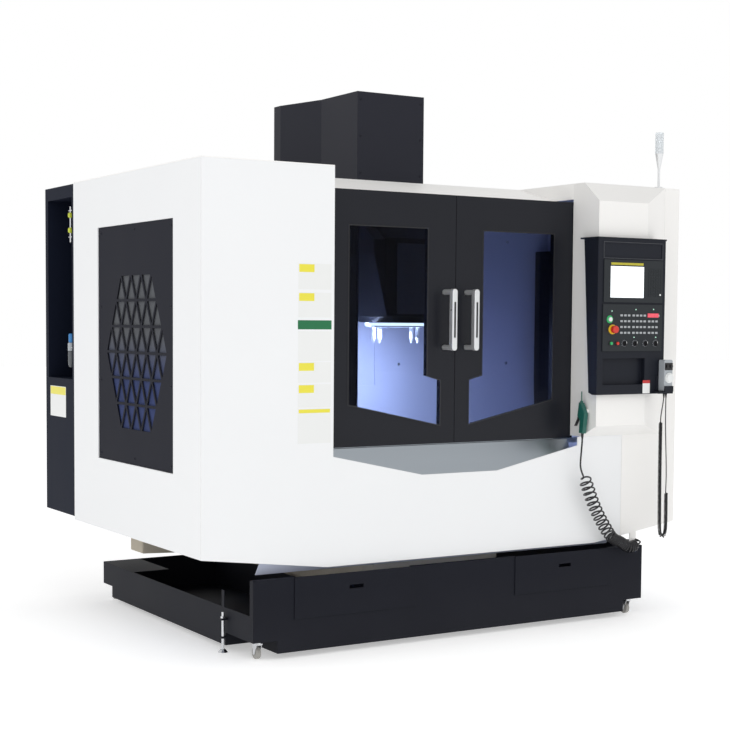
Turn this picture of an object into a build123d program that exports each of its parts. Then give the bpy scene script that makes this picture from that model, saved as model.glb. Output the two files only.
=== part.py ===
"""Vertical machining centre with two sliding front doors, as separate pieces.

Millimetres, +Z up, the doors face -Y. Depths below are measured from the front sheet and
go back along +Y; each piece is set on the middle of the machine's footprint as it is written.
"""
from build123d import *
import math
import os

# Enclosure
enclosure_width = 2811.0
side_depth = 1575.0
roof_height = 2268.0
corner_bottom = 482.0
knee_bottom = 402.0
knee_left = -759.0
knee_right = 859.0
panel_seam = 1032.0
sheet = 4.0
fold = 24.0
seam_gap = 1.0

# Door opening and doors
opening_left = -728.0
opening_right = 752.0
door_recess = 90.0
door_thickness = 42.0
door_skin = 3.0
door_rim = 30.0
door_bottom = 951.0
door_top = 2172.0
door_meeting_gap = 3.0
door_overlap = 16.0
pane_thickness = 8.0
window_inner_low = 83.0
window_inner_high = 163.0
window_outer = 617.0
window_top = 2007.0
window_step_low = 1265.0
window_step_high = 1286.0
window_bottom_inner = 1036.0
window_bottom_outer = 1150.0
handle_offset = 66.0
handle_width = 30.0
handle_depth = 28.0
handle_standoff = 66.0
handle_bottom = 1410.0
handle_top = 1711.0
handle_post_radius = 13.0
handle_slot_width = 11.0
handle_slot_length = 176.0
handle_slot_depth = 6.0

# Sill below the doors
sill_rest = 946.0
sill_low = 800.0
notch_top = 918.0
notch_bottom = 811.0
notch_left = -229.0
notch_right = 219.0
track_height = 22.0
track_gap = 0.5
track_end = 1372.0

# Roof and header
header_front = 240.0
header_top = 545.0
header_low = 2187.0
header_drop = 62.0
head_slot_half = 190.0
head_slot_front = 690.0
head_slot_back = 1430.0

# Column cover
cover_half = 205.0
cover_rear_half = 280.0
cover_front = 670.0
cover_flare_start = 1046.0
cover_flare_end = 1370.0
cover_back = 1445.0
cover_top = 2735.0
cover_sheet = 3.0

# Operator box
box_proud = 120.0
box_front_right = 1079.0
box_facet_end = 1304.0
box_bevel_low = 2169.0
box_under_front = 1022.0
box_under_back = 962.0
box_wall_end = 85.0

# Control console
console_left = 722.0
console_right = 1176.0
console_bottom = 1185.0
console_top = 1977.0
console_proud = 35.0
console_cheek_top = -42.0
console_cheek_bottom = -92.0
console_right_cheek = -87.0
console_wall = 29.0
plate_left = 757.0
plate_right = 1151.0
name_low = 1880.0
name_high = 1960.0
name_rim = 6.0
name_depth = 3.0
display_low = 1656.0
display_high = 1872.0
screen_left = 800.0
screen_right = 1022.0
screen_low = 1680.0
screen_high = 1839.0
screen_thickness = 3.0
strip_low = 1846.0
strip_high = 1857.0
soft_keys_left = 1054.0
soft_keys_low = 1688.0
soft_key_columns = 6
soft_key_rows = 9
soft_key_pitch = 16.2
soft_key_size = 12.0
operator_low = 1407.0
operator_high = 1646.0
faceplate = 5.0
key_left = 876.0
key_low = 1501.0
key_pitch_z = 29.6
key_group_columns = (3, 4, 3)
key_group_rows = (4, 4, 3)
key_chamfer = 0.6
counter_left = 1054.0
counter_width = 78.0
counter_height = 21.0
counter_rise = 2.4
counter_row = 3
key_pitch_x = 25.0
key_group_gap = 11.0
key_width = 17.0
key_height = 19.0
key_rise = 1.5
shelf_left = 761.0
shelf_right = 1042.0
shelf_low = 1235.0
shelf_high = 1370.0
shelf_depth = 28.0

# Console controls, each by its place on the face
stop_x = 815.0
stop_z = 1518.0
stop_cap_radius = 19.0
stop_stem_radius = 9.0
stop_rise = 34.0
stop_travel = 6.0
stop_ring_radius = 24.0
stop_ring_height = 6.0
power_x = 797.0
power_z = 1569.0
power_radius = 11.0
start_x = 806.0
end_x = 848.0
button_z = 1447.0
button_radius = 8.0
button_collar = 4.0
button_collar_height = 4.0
button_rise = 7.0
button_bore_depth = 16.0
button_travel = 3.5
knob_places = (898.0, 969.0, 1039.0, 1108.0)
knob_z = 1446.0
knob_radius = 13.0
knob_height = 17.0
knob_stem_radius = 4.0
knob_gap = 0.5
running_gap = 0.3

# Hand pendant in its holder
pendant_x = 1164.0
pendant_high = 1362.0
pendant_width = 57.0
pendant_depth = 44.0
pendant_gap = 0.5
dial_radius = 27.0
dial_height = 16.0
dial_z = 1268.0
dial_pin_radius = 5.0
holder_left = 1098.0
holder_right = 1207.0
holder_wall = 5.0
holder_low = 1187.0
holder_lip = 1238.0

# Signal lamp
signal_x = 1281.0
signal_y = 26.0
signal_pole_radius = 6.0
signal_cone_low = 2370.0
signal_cone_high = 2450.0
signal_lens_radius = 22.0
signal_top = 2561.0
signal_foot_radius = 20.0
signal_foot_height = 6.0

# Vented cover in the left side
vent_front = 301.0
vent_back = 1229.0
vent_low = 842.0
vent_high = 2014.0
vent_recess = 5.0
vent_gap = 1.0
vent_base = 126.0
vent_row = 127.0
vent_web = 13.0
vent_middle_y = 750.0
vent_middle_z = 1390.0
vent_row_counts = (4, 5, 6)

# Rear cabinet with the air niche
cabinet_depth = 435.0
cabinet_right = -340.0
cabinet_low = 500.0
cabinet_high = 2262.0
cabinet_wall = 18.0
cabinet_door_thickness = 18.0
cabinet_door_gap = 0.5
hinge_barrel_radius = 8.0
hinge_pin_radius = 4.0
hinge_pin_fit = 0.05
hinge_air = 1.0
hinge_knuckle_length = 60.0
hinge_cap_length = 14.0
hinge_leaf = 4.0
hinge_leaf_width = 34.0
hinge_heights = (740.0, 1980.0)
niche_width = 300.0
niche_low = 1230.0
niche_high = 2195.0
niche_margin = 24.0
air_unit_back = 90.0
air_unit_low = 1290.0
air_unit_block = 62.0
air_bowl_radius = 26.0
air_bowl_length = 105.0

# Castings
foot_radius = 60.0
foot_height = 28.0
foot_stud_radius = 15.0
bed_bottom = 50.0
bed_top = 560.0
bed_half = 410.0
bed_front = 215.0
bed_back = 1780.0
rail_end = 1050.0
bed_rib = 42.0
bed_bay_columns = 3
bed_bay_rows = 6
rail_width = 44.0
rail_height = 36.0
rail_foot_half = 280.0
column_half = 300.0
column_front = 1180.0
column_top = 2200.0
column_rib = 40.0
column_bay_columns = 2
column_bay_rows = 6
z_rail_half = 205.0
z_rail_low = 1080.0

# Moving axes
spindle_y = 610.0
saddle_half = 420.0
saddle_depth = 460.0
saddle_thickness = 138.0
table_half = 500.0
table_depth = 460.0
table_thickness = 132.0
x_rail_offset = 150.0
slide_gap = 0.3
t_slot_pitch = 125.0
t_slot_width = 18.0
t_slot_neck = 14.0
t_slot_foot_width = 30.0
t_slot_foot_height = 12.0
head_bottom = 1545.0
head_front = 450.0
head_half = 165.0
cowl_half = 232.0
cowl_foot_half = 152.0
cowl_back = 1040.0
cowl_foot_z = 1575.0
cowl_plate_half = 96.0
cowl_plate_rise = 8.0
cowl_vents = 5
cowl_vent_pitch = 22.0
head_nose_half = 104.0
head_shoulder = 1700.0
head_height = 500.0
head_plate_half = 250.0
head_plate_thickness = 44.0
motor_radius = 112.0
motor_height = 350.0
motor_y = 868.0
spindle_radius = 58.0
spindle_length = 300.0
spindle_fit = 0.05
spindle_nose = 26.0
taper_mouth_radius = 22.2
taper_end_radius = 13.0
taper_depth = 66.0
ring_radius = 160.0
ring_bore = 76.0
ring_height = 24.0
nozzle_radius = 11.0
nozzle_reach = 118.0
nozzle_length = 62.0
way_cover_half = 176.0
way_cover_low = 1064.0
way_cover_sheet = 3.0

# Tool magazine beside the column
magazine_x = -645.0
magazine_z = 1750.0
magazine_radius = 250.0
magazine_thickness = 36.0
magazine_y = 1150.0
magazine_pots = 16
pot_radius = 30.0
pot_length = 70.0
magazine_pin_radius = 32.0
magazine_arm_height = 180.0
magazine_arm_thickness = 40.0

# Inner guards and chip pan
guard_y = 1090.0
guard_crease = 1270.0
guard_foot_y = 1064.0
guard_foot_z = 940.0
side_guard_front = 150.0
side_guard_sheet = 3.0
guard_slot_half = 170.0
head_travel_down = 450.0
guard_slot_room = 55.0
chute_top = 860.0
chute_outer = 1381.0
chute_low = 600.0
chute_inner = 470.0
chute_front = 146.0
lip_back = 60.0
lip_low = 384.0

# Coolant tank
tank_half = 1160.0
tank_front = -30.0
tank_back = 1786.0
tank_bottom = 28.0
tank_side_top = 208.0
tank_front_top = 372.0
tank_wall = 4.0
tank_upstand = 35.0
tank_corner_half = 1034.0
tank_corner_z = 88.0
tank_corner_front = 250.0
tank_corner_back = 1660.0
tank_gate_half = 470.0
tank_gate_front = 190.0
tank_cover_inner = 950.0
tank_cover_front = 1371.0
drawer_left_edges = (-948.0, -284.0)
drawer_right_edges = (316.0, 952.0)
drawer_low = 179.0
drawer_plate = 4.0
drawer_gap = 0.5
drawer_depth = 205.0
drawer_slot_length = 78.0
drawer_slot_height = 18.0
drawer_slot_z = 306.0
drawer_bin_inset = 14.0
drawer_bin_top = 366.0
caster_x = 1107.0
caster_front_y = 24.0
caster_back_y = 1724.0
caster_radius = 29.0
caster_width = 22.0
caster_trail = 16.0
fork_plate = 4.0
fork_arm = 3.0
caster_bore = 4.0
jack_y = 243.0
jack_stand = 18.0
jack_radius = 7.0
jack_top = 190.0
jack_foot_radius = 24.0
jack_foot_height = 8.0
jack_lug = 8.0
jack_tab_height = 78.0

# Air gun on the operator box and its spiral hose
gun_x = 727.0
gun_thickness = 26.0
gun_fillet = 5.0
gun_outline = ((-26.0, 1142.0), (-44.0, 1140.0), (-60.0, 1112.0), (-74.0, 1088.0),
               (-72.0, 1062.0), (-62.0, 984.0), (-28.0, 984.0), (-34.0, 1050.0), (-14.0, 1072.0))
gun_nozzle_radius = 3.0
gun_nozzle_length = 56.0
gun_nozzle_y = -35.0
gun_hanger = 14.0
trigger_pivot = (-20.0, 1086.0)
trigger_length = 74.0
trigger_lean = 24.0
trigger_thickness = 7.0
trigger_width = 14.0
trigger_pin_radius = 3.0
hose_radius = 4.5
hose_coil_radius = 37.0
hose_route = ((727.0, -45.0, 984.0), (727.0, -45.0, 944.0), (716.0, -53.0, 897.0),
              (705.0, -61.0, 854.0), (697.0, -68.0, 816.0), (704.0, -72.0, 786.0),
              (718.0, -72.0, 760.0))
coil_route = ((718.0, -72.0, 760.0), (742.0, -72.0, 715.4), (762.0, -73.0, 664.0),
              (790.0, -74.0, 604.0), (822.0, -76.0, 548.0), (858.0, -78.0, 494.0),
              (894.0, -78.0, 448.0), (930.0, -78.0, 420.0), (966.0, -78.0, 411.0),
              (1000.0, -78.0, 384.0), (1034.0, -78.0, 374.0), (1072.0, -78.0, 384.0))
hose_tail_route = ((1072.0, -78.0, 384.0), (1094.0, -78.0, 389.8), (1114.0, -70.0, 396.0),
                   (1124.0, -50.0, 400.0), (1124.0, -20.0, 400.0))
hose_fitting_radius = 8.0
hose_fitting_tab = 44.0

# Pendant cord
cord_radius = 3.5
curl_radius = 11.0
lead_down_route = ((1158.0, -178.0, 1187.0), (1158.0, -178.0, 1162.0), (1159.0, -170.0, 1126.0),
                   (1163.0, -158.0, 1092.0), (1165.0, -150.0, 1060.0), (1165.0, -150.0, 1034.0))
curl_route = ((1165.0, -150.0, 1034.0), (1165.0, -150.0, 900.0), (1168.0, -147.0, 760.0),
              (1171.0, -146.0, 620.0), (1173.0, -146.0, 500.0), (1176.0, -146.0, 448.0),
              (1196.0, -146.0, 424.0), (1216.0, -146.0, 448.0), (1216.0, -147.0, 520.0),
              (1214.0, -148.0, 612.0), (1214.0, -148.0, 660.0))
lead_up_route = ((1214.0, -148.0, 660.0), (1214.0, -148.0, 744.0), (1210.0, -149.0, 834.0),
                 (1203.0, -151.0, 924.0), (1195.0, -155.0, 1014.0), (1187.0, -162.0, 1096.0),
                 (1184.0, -166.0, 1148.0), (1184.0, -166.0, 1187.0))

# Worked out from the sizes above
half = enclosure_width / 2
back = side_depth + cabinet_depth
console_front = -(box_proud + console_proud)
plate_front = console_front - faceplate
pendant_back = console_front - holder_wall - pendant_gap
pendant_front = pendant_back - pendant_depth
front_reach = -(pendant_front - dial_height)
footprint_shift = (front_reach - back) / 2
door_split = (opening_left + opening_right) / 2 + 6.0
door_back = door_recess + door_thickness
saddle_bottom = bed_top + rail_height + slide_gap
saddle_top = saddle_bottom + saddle_thickness
table_bottom = saddle_top + rail_height + slide_gap
table_top = table_bottom + table_thickness
z_rail_front = column_front - rail_height
head_back = z_rail_front - slide_gap
guard_slot_low = head_shoulder - head_travel_down - guard_slot_room


def slab_xy(points, low, high):
    return Pos(0, 0, low) * extrude(Polygon(*points, align=None), amount=high - low, dir=(0, 0, 1))


def slab_xz(points, near, far):
    face = Plane.XZ * Polygon(*points, align=None)
    return Pos(0, near, 0) * extrude(face, amount=far - near, dir=(0, 1, 0))


def slab_yz(points, left, right):
    face = Plane.YZ * Polygon(*points, align=None)
    return Pos(left, 0, 0) * extrude(face, amount=right - left, dir=(1, 0, 0))


def block(x0, x1, y0, y1, z0, z1):
    return Pos((x0 + x1) / 2, (y0 + y1) / 2, (z0 + z1) / 2) * Box(x1 - x0, y1 - y0, z1 - z0)


def rod_z(x, y, z0, z1, radius):
    return Pos(x, y, (z0 + z1) / 2) * Cylinder(radius, z1 - z0)


def rod_y(x, z, y0, y1, radius):
    return Pos(x, (y0 + y1) / 2, z) * Rot(90, 0, 0) * Cylinder(radius, y1 - y0)


def rod_x(y, z, x0, x1, radius):
    return Pos((x0 + x1) / 2, y, z) * Rot(0, 90, 0) * Cylinder(radius, x1 - x0)


def mirror_x(shape):
    return mirror(shape, about=Plane.YZ)


def node(name, *solids):
    """Write one piece, set on the middle of the footprint."""
    moved = [Pos(0, footprint_shift, 0) * solid for solid in solids]
    flat = [one for shape in moved for one in shape.solids()]
    export_step(flat[0] if len(flat) == 1 else Compound(children=flat), "parts/%s.step" % name)


# Front sheets
def bottom_edge(x):
    """Height of the enclosure's lower edge, which rises to both outer corners."""
    if x < knee_left:
        return knee_bottom + (corner_bottom - knee_bottom) * (knee_left - x) / (half + knee_left)
    if x > knee_right:
        return knee_bottom + (corner_bottom - knee_bottom) * (x - knee_right) / (half - knee_right)
    return knee_bottom


def front_panel():
    notch_left_end = opening_left
    notch_right_end = opening_right - 20
    seam = panel_seam - seam_gap / 2
    outline = ((-half, corner_bottom), (knee_left, knee_bottom), (knee_right, knee_bottom),
               (seam, bottom_edge(seam)), (seam, box_under_back), (notch_right_end, box_under_back),
               (notch_right_end, notch_top), (notch_right, notch_bottom), (notch_left, notch_bottom),
               (notch_left_end, notch_top), (notch_left_end, roof_height - sheet),
               (-half, roof_height - sheet))
    skin = slab_xz(outline, 0, sheet)
    reveal = block(opening_left - sheet, opening_left, 0, box_wall_end, notch_top, roof_height - sheet)
    hem = block(knee_left, knee_right, 0, fold, knee_bottom, knee_bottom + sheet)
    return skin + reveal + hem


def front_right_panel():
    seam = panel_seam + seam_gap / 2
    outline = ((seam, bottom_edge(seam)), (half, corner_bottom), (half, roof_height - sheet),
               (seam, roof_height - sheet))
    skin = slab_xz(outline, 0, sheet)
    fitting_x, fitting_z = hose_tail_route[-1][0], hose_tail_route[-1][2]
    tab = block(fitting_x - hose_fitting_tab / 2, fitting_x + hose_fitting_tab / 2, sheet, 2 * sheet,
                fitting_z - hose_fitting_tab / 2, bottom_edge(fitting_x) + fold)
    nipple = rod_y(fitting_x, fitting_z, hose_tail_route[-1][1], sheet + 1, hose_fitting_radius)
    return skin + tab + nipple


def sill_tray():
    """Sloped drip sheet behind the notch, and the lower track that the doors run on."""
    slope = ((sheet, sill_low), (door_recess - 4, sill_rest), (door_back + 6, sill_rest),
             (door_back + 6, sill_rest - fold), (door_back + 6 - sheet, sill_rest - fold),
             (door_back + 6 - sheet, sill_rest - sheet), (door_recess - 2, sill_rest - sheet),
             (sheet, sill_low - sheet))
    tray = slab_yz(slope, opening_left + seam_gap, opening_right - 20 - seam_gap)
    rail_y = door_recess + door_thickness / 2
    crown = door_bottom - track_gap
    base = block(-track_end, track_end, door_recess + 6, door_back - 2, sill_rest - track_height, sill_rest)
    crest = block(-track_end, track_end, rail_y - 4, rail_y + 4, sill_rest, crown)
    return tray + base + crest


def side_sheet(x0, x1, opening):
    outline = ((sheet, corner_bottom), (side_depth, corner_bottom), (side_depth, roof_height - sheet),
               (sheet, roof_height - sheet))
    skin = slab_yz(outline, x0, x1)
    if opening:
        hole = block(x0 - 1, x1 + 1, vent_front, vent_back, vent_low, vent_high)
        skin = skin - hole
    return skin


def left_side_panel():
    skin = side_sheet(-half, -half + sheet, True)
    depth = vent_recess + 3 * sheet
    frame = block(-half + sheet, -half + depth, vent_front - sheet, vent_back + sheet,
                  vent_low - sheet, vent_high + sheet)
    frame = frame - block(-half, -half + depth + 1, vent_front, vent_back, vent_low, vent_high)
    ledge = block(-half + vent_recess + sheet, -half + depth, vent_front, vent_back, vent_low, vent_high)
    ledge = ledge - block(-half, half, vent_front + fold, vent_back - fold, vent_low + fold, vent_high - fold)
    return skin + frame + ledge


def right_side_panel():
    return side_sheet(half - sheet, half, False)


def vent_triangle(y, z, up):
    """One triangular cut-out, its web kept clear on all three sides."""
    web = vent_web / 2
    high = vent_row / 2 - web
    reach = vent_base / 2 - web * 1.9
    if up:
        points = ((y - reach, z - high), (y + reach, z - high), (y, z + high - web))
    else:
        points = ((y - reach, z + high), (y + reach, z + high), (y, z - high + web))
    return slab_yz(points, -half - 1, -half + 3 * sheet)


def vent_cover():
    left = -half + vent_recess
    outer = block(left, left + sheet, vent_front + vent_gap, vent_back - vent_gap,
                  vent_low + vent_gap, vent_high - vent_gap)
    cuts = []
    rows = list(vent_row_counts)
    for index, count in enumerate(rows + rows[::-1]):
        z = vent_middle_z + (len(rows) - 0.5 - index) * vent_row
        upright = index < len(rows)
        total = 2 * count - 1
        for place in range(total):
            y = vent_middle_y + (place - (total - 1) / 2) * vent_base / 2
            up = upright == (place % 2 == 0)
            cuts.append(vent_triangle(y, z, up))
    return outer - cuts


# Roof, header and rear wall
def roof_panel():
    """Flat roof with the sloped header over the doors and a cut-out for the head."""
    left = block(-half, opening_left, 0, header_top, roof_height - sheet, roof_height)
    right = block(opening_right, half, 0, header_top, roof_height - sheet, roof_height)
    rear = block(-half, half, header_top, side_depth, roof_height - sheet, roof_height)
    slope = slab_yz(((header_front, header_low), (header_top, roof_height), (header_top, roof_height - sheet),
                     (header_front + sheet, header_low - sheet),
                     (header_front + sheet, header_low - header_drop),
                     (header_front, header_low - header_drop)), opening_left, opening_right)
    cheek = ((door_recess - 5, header_low), (header_front, header_low), (header_top, roof_height - sheet),
             (door_recess - 5, roof_height - sheet))
    right_cheek = slab_yz(cheek, opening_right, opening_right + sheet)
    left_cheek = slab_yz(cheek, opening_left - sheet, opening_left)
    track = block(-track_end, track_end, door_back + 8, header_front, header_low - header_drop,
                  header_low - header_drop + sheet)
    web = block(-track_end, track_end, door_back + 8, door_back + 8 + sheet,
                header_low - header_drop, header_low - 16)
    roof = left + right + rear + slope + right_cheek + left_cheek + track + web
    return roof - block(-head_slot_half, head_slot_half, head_slot_front, head_slot_back,
                        roof_height - 3 * sheet, roof_height + 1)


def cover_plan(inset):
    front_half = cover_half - inset
    rear_half = cover_rear_half - inset
    return ((-front_half, cover_front + inset), (front_half, cover_front + inset),
            (front_half, cover_flare_start), (rear_half, cover_flare_end), (rear_half, cover_back - inset),
            (-rear_half, cover_back - inset), (-rear_half, cover_flare_end), (-front_half, cover_flare_start))


def column_cover():
    outer = slab_xy(cover_plan(0), roof_height, cover_top)
    return outer - slab_xy(cover_plan(cover_sheet), roof_height - 1, cover_top - cover_sheet)


def rear_wall():
    skin = block(-half + sheet, half - sheet, side_depth - sheet, side_depth, corner_bottom,
                 roof_height - sheet)
    gate = block(-column_half - 12, column_half + 12, side_depth - fold, side_depth + 1,
                 corner_bottom - 1, column_top + 12)
    return skin - gate


# Operator box and console
def operator_box_form(inset, rear):
    plan = ((opening_right + inset, -box_proud + inset), (box_front_right - inset * 0.6, -box_proud + inset),
            (box_facet_end - inset * 2.2, rear), (opening_right + inset, rear))
    side = ((-box_proud + inset, box_under_front + inset), (rear, box_under_back + inset),
            (rear, roof_height - inset), (-box_proud + inset, box_bevel_low - inset * 0.5))
    body = slab_xy(plan, box_under_back + inset, roof_height - inset)
    return body & slab_yz(side, opening_right, half)


def operator_box():
    shell = operator_box_form(0, 0) - operator_box_form(sheet, 1)
    wall = block(opening_right, opening_right + sheet, -1, box_wall_end, box_under_back + 1,
                 roof_height - sheet)
    shelf = gun_x + gun_thickness / 2 + running_gap
    hanger = rod_x(gun_nozzle_y - 14, 1096, shelf, opening_right + 1, gun_hanger)
    return shell + wall + hanger


def console_housing():
    """Front slab with cheeks around the box, a name recess, a shelf and the pendant holder."""
    slab = block(console_left, console_right, console_front, -box_proud, console_bottom, console_top)
    slab = fillet(slab.edges().filter_by(Axis.Z).group_by(Axis.Y)[0], 5)
    left_cheek = slab_yz(((-box_proud, console_bottom), (console_cheek_bottom, console_bottom + 10),
                          (console_cheek_top, console_top), (-box_proud, console_top)),
                         console_left, console_left + console_wall)
    right_cheek = block(console_right - console_wall, console_right, -box_proud, console_right_cheek,
                        console_bottom, console_top)
    cap = block(console_left - 4, console_right + 2, console_front - 2, -box_proud, console_top,
                console_top + 8)
    cap_left = block(console_left - 4, console_left + console_wall, -box_proud, console_cheek_top + 26,
                     console_top, console_top + 8)
    housing = slab + left_cheek + right_cheek + cap + cap_left
    name_rim_form = block(plate_left, plate_right, console_front - name_depth, console_front,
                          name_low, name_high)
    name_rim_form = name_rim_form - block(plate_left + name_rim, plate_right - name_rim,
                                          console_front - name_depth - 1, console_front + 1,
                                          name_low + name_rim, name_high - name_rim)
    shelf = block(shelf_left, shelf_right, console_front - 1, console_front + shelf_depth,
                  shelf_low, shelf_high)
    housing = housing + name_rim_form - shelf
    for x, z, radius in control_bores():
        housing = housing - rod_y(x, z, console_front - 1, console_front + button_bore_depth, radius)
    return housing + pendant_holder()


def pendant_holder():
    """Open-topped cup, its bottom shaped to a tongue, on the console's lower right corner."""
    near = pendant_front - pendant_gap - holder_wall
    far = console_front
    middle = (near + far) / 2
    tongue = slab_xy(((holder_left, near), (holder_right - 16, near), (holder_right, middle),
                      (holder_right - 8, far), (holder_left, far)), holder_low, holder_low + 2 * holder_wall)
    floor_top = holder_low + 2 * holder_wall
    plate = block(pendant_x - 44, console_right, far - holder_wall, far, holder_low, holder_lip + 40)
    lip = block(pendant_x - 30, pendant_x + 30, near, near + holder_wall, floor_top, holder_lip - 12)
    return tongue + plate + lip


def control_bores():
    """Place and bore radius of every control that runs in the console."""
    bores = [(stop_x, stop_z, stop_stem_radius + running_gap), (power_x, power_z, power_radius + running_gap)]
    bores += [(x, button_z, button_radius + running_gap) for x in (start_x, end_x)]
    bores += [(x, knob_z, knob_stem_radius + running_gap) for x in knob_places]
    return bores


def key_places():
    """Middle of each key column, with the number of rows that column has."""
    x = key_left
    for group, rows in zip(key_group_columns, key_group_rows):
        for column in range(group):
            yield x, rows
            x += key_pitch_x
        x += key_group_gap - 5


def display_plate():
    plate = block(plate_left, plate_right, plate_front, console_front, display_low, display_high)
    plate = fillet(plate.edges().filter_by(Axis.Y), 4)
    plate = plate - block(screen_left, screen_right, plate_front - 1, plate_front + screen_thickness,
                          screen_low, screen_high)
    strip = block(screen_left, screen_right - 5, plate_front - 1, plate_front, strip_low, strip_high)
    keys = []
    for column in range(soft_key_columns):
        for row in range(soft_key_rows):
            x = soft_keys_left + column * soft_key_pitch
            z = soft_keys_low + row * soft_key_pitch
            keys.append(block(x, x + soft_key_size, plate_front - key_rise, plate_front,
                              z, z + soft_key_size))
    return plate + strip + keys


def operator_plate():
    plate = block(plate_left - 4, plate_right, plate_front, console_front, operator_low, operator_high)
    plate = fillet(plate.edges().filter_by(Axis.Y), 4)
    keys = []
    for x, rows in key_places():
        for row in range(rows):
            z = key_low + row * key_pitch_z
            key = block(x - key_width / 2, x + key_width / 2, plate_front - key_rise, plate_front,
                        z - key_height / 2, z + key_height / 2)
            keys.append(chamfer(key.edges().group_by(Axis.Y)[0], key_chamfer))
    counter_z = key_low + counter_row * key_pitch_z
    counter = block(counter_left, counter_left + counter_width, plate_front - counter_rise, plate_front,
                    counter_z - counter_height / 2, counter_z + counter_height / 2)
    keys.append(chamfer(counter.edges().group_by(Axis.Y)[0], key_chamfer))
    collars = [rod_y(stop_x, stop_z, plate_front - stop_ring_height, plate_front, stop_ring_radius),
               rod_y(power_x, power_z, plate_front - button_collar_height, plate_front,
                     power_radius + 2 * button_collar)]
    for x in (start_x, end_x):
        collars.append(rod_y(x, button_z, plate_front - button_collar_height, plate_front,
                             button_radius + button_collar))
    plate = plate + keys + collars
    for x, z, radius in control_bores():
        plate = plate - rod_y(x, z, plate_front - stop_ring_height - 1, console_front + 1, radius)
    return plate


def display_screen():
    return block(screen_left, screen_right, plate_front, plate_front + screen_thickness,
                 screen_low, screen_high)


def push_button(x, z, radius):
    front = plate_front - button_collar_height - button_rise
    button = rod_y(x, z, front, console_front + button_bore_depth - button_travel - 4, radius)
    return fillet(button.edges().group_by(Axis.Y)[0], 1.8)


def emergency_stop():
    front = plate_front - stop_rise
    seat = plate_front - stop_ring_height - stop_travel - 1
    stem = rod_y(stop_x, stop_z, seat - 1, console_front + button_bore_depth - stop_travel - 1,
                 stop_stem_radius)
    cap = rod_y(stop_x, stop_z, front, seat, stop_cap_radius)
    cap = fillet(cap.edges().group_by(Axis.Y)[0], 6)
    return cap + stem


def rotary_knob(x):
    seat = plate_front - knob_gap
    skirt = Pos(x, seat, knob_z) * Rot(90, 0, 0) * Cone(knob_radius, knob_radius - 2, 6,
                                                        align=(Align.CENTER, Align.CENTER, Align.MIN))
    grip = block(x - 4, x + 4, seat - knob_height, seat - 5, knob_z - knob_radius + 2,
                 knob_z + knob_radius - 2)
    grip = fillet(grip.edges().filter_by(Axis.Y), 3)
    stem = rod_y(x, knob_z, seat - 1, console_front + button_bore_depth - 2, knob_stem_radius)
    return skirt + grip + stem


def pendant_body():
    body = block(pendant_x - pendant_width / 2, pendant_x + pendant_width / 2, pendant_front, pendant_back,
                 holder_low + 2 * holder_wall + pendant_gap, pendant_high)
    body = fillet(body.edges().filter_by(Axis.Y), 9)
    body = fillet(body.edges().group_by(Axis.Y)[0], 4)
    selectors = [rod_y(pendant_x + side * 13, pendant_high - 34, pendant_front - 9, pendant_front + 1, 8)
                 for side in (-1, 1)]
    bore = rod_y(pendant_x, dial_z, pendant_front - 1, pendant_front + 18, dial_pin_radius + running_gap)
    return body + selectors - bore


def handwheel_dial():
    seat = pendant_front - running_gap
    disc = rod_y(pendant_x, dial_z, seat - 7, seat, dial_radius)
    hub = rod_y(pendant_x, dial_z, pendant_front - dial_height, seat - 6, dial_radius - 5)
    hub = fillet(hub.edges().group_by(Axis.Y)[0], 3)
    crank = rod_y(pendant_x + dial_radius - 11, dial_z + 5, pendant_front - dial_height + 0.5, seat - 6, 4)
    pin = rod_y(pendant_x, dial_z, seat - 1, pendant_front + 16, dial_pin_radius)
    return disc + hub + crank + pin


# Signal lamp
def signal_pole():
    foot = rod_z(signal_x, signal_y, roof_height, roof_height + signal_foot_height, signal_foot_radius)
    pole = rod_z(signal_x, signal_y, roof_height, signal_cone_low + 1, signal_pole_radius)
    cone = Pos(signal_x, signal_y, signal_cone_low) * Cone(
        signal_pole_radius + 1, signal_lens_radius, signal_cone_high - signal_cone_low,
        align=(Align.CENTER, Align.CENTER, Align.MIN))
    return foot + pole + cone


def signal_lens():
    tube = rod_z(signal_x, signal_y, signal_cone_high, signal_top, signal_lens_radius)
    grooves = []
    for step in range(3):
        z = signal_cone_high + (step + 1) * (signal_top - signal_cone_high) / 4
        groove = rod_z(signal_x, signal_y, z - 1.5, z + 1.5, signal_lens_radius + 1)
        grooves.append(groove - rod_z(signal_x, signal_y, z - 2, z + 2, signal_lens_radius - 2))
    tube = fillet(tube.edges().group_by(Axis.Z)[-1], 5)
    return tube - grooves


# Doors, built for the right side about the meeting line and mirrored for the left
def window_outline(grow):
    slant = (window_bottom_outer - window_bottom_inner) / (window_outer - window_inner_low)
    return ((window_inner_low - grow, window_bottom_inner - grow * (1 + slant)),
            (window_outer + grow, window_bottom_outer - grow * (1 - slant)),
            (window_outer + grow, window_top + grow), (window_inner_high - grow, window_top + grow),
            (window_inner_high - grow, window_step_high + grow * 0.2),
            (window_inner_low - grow, window_step_low + grow * 0.2))


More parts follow.
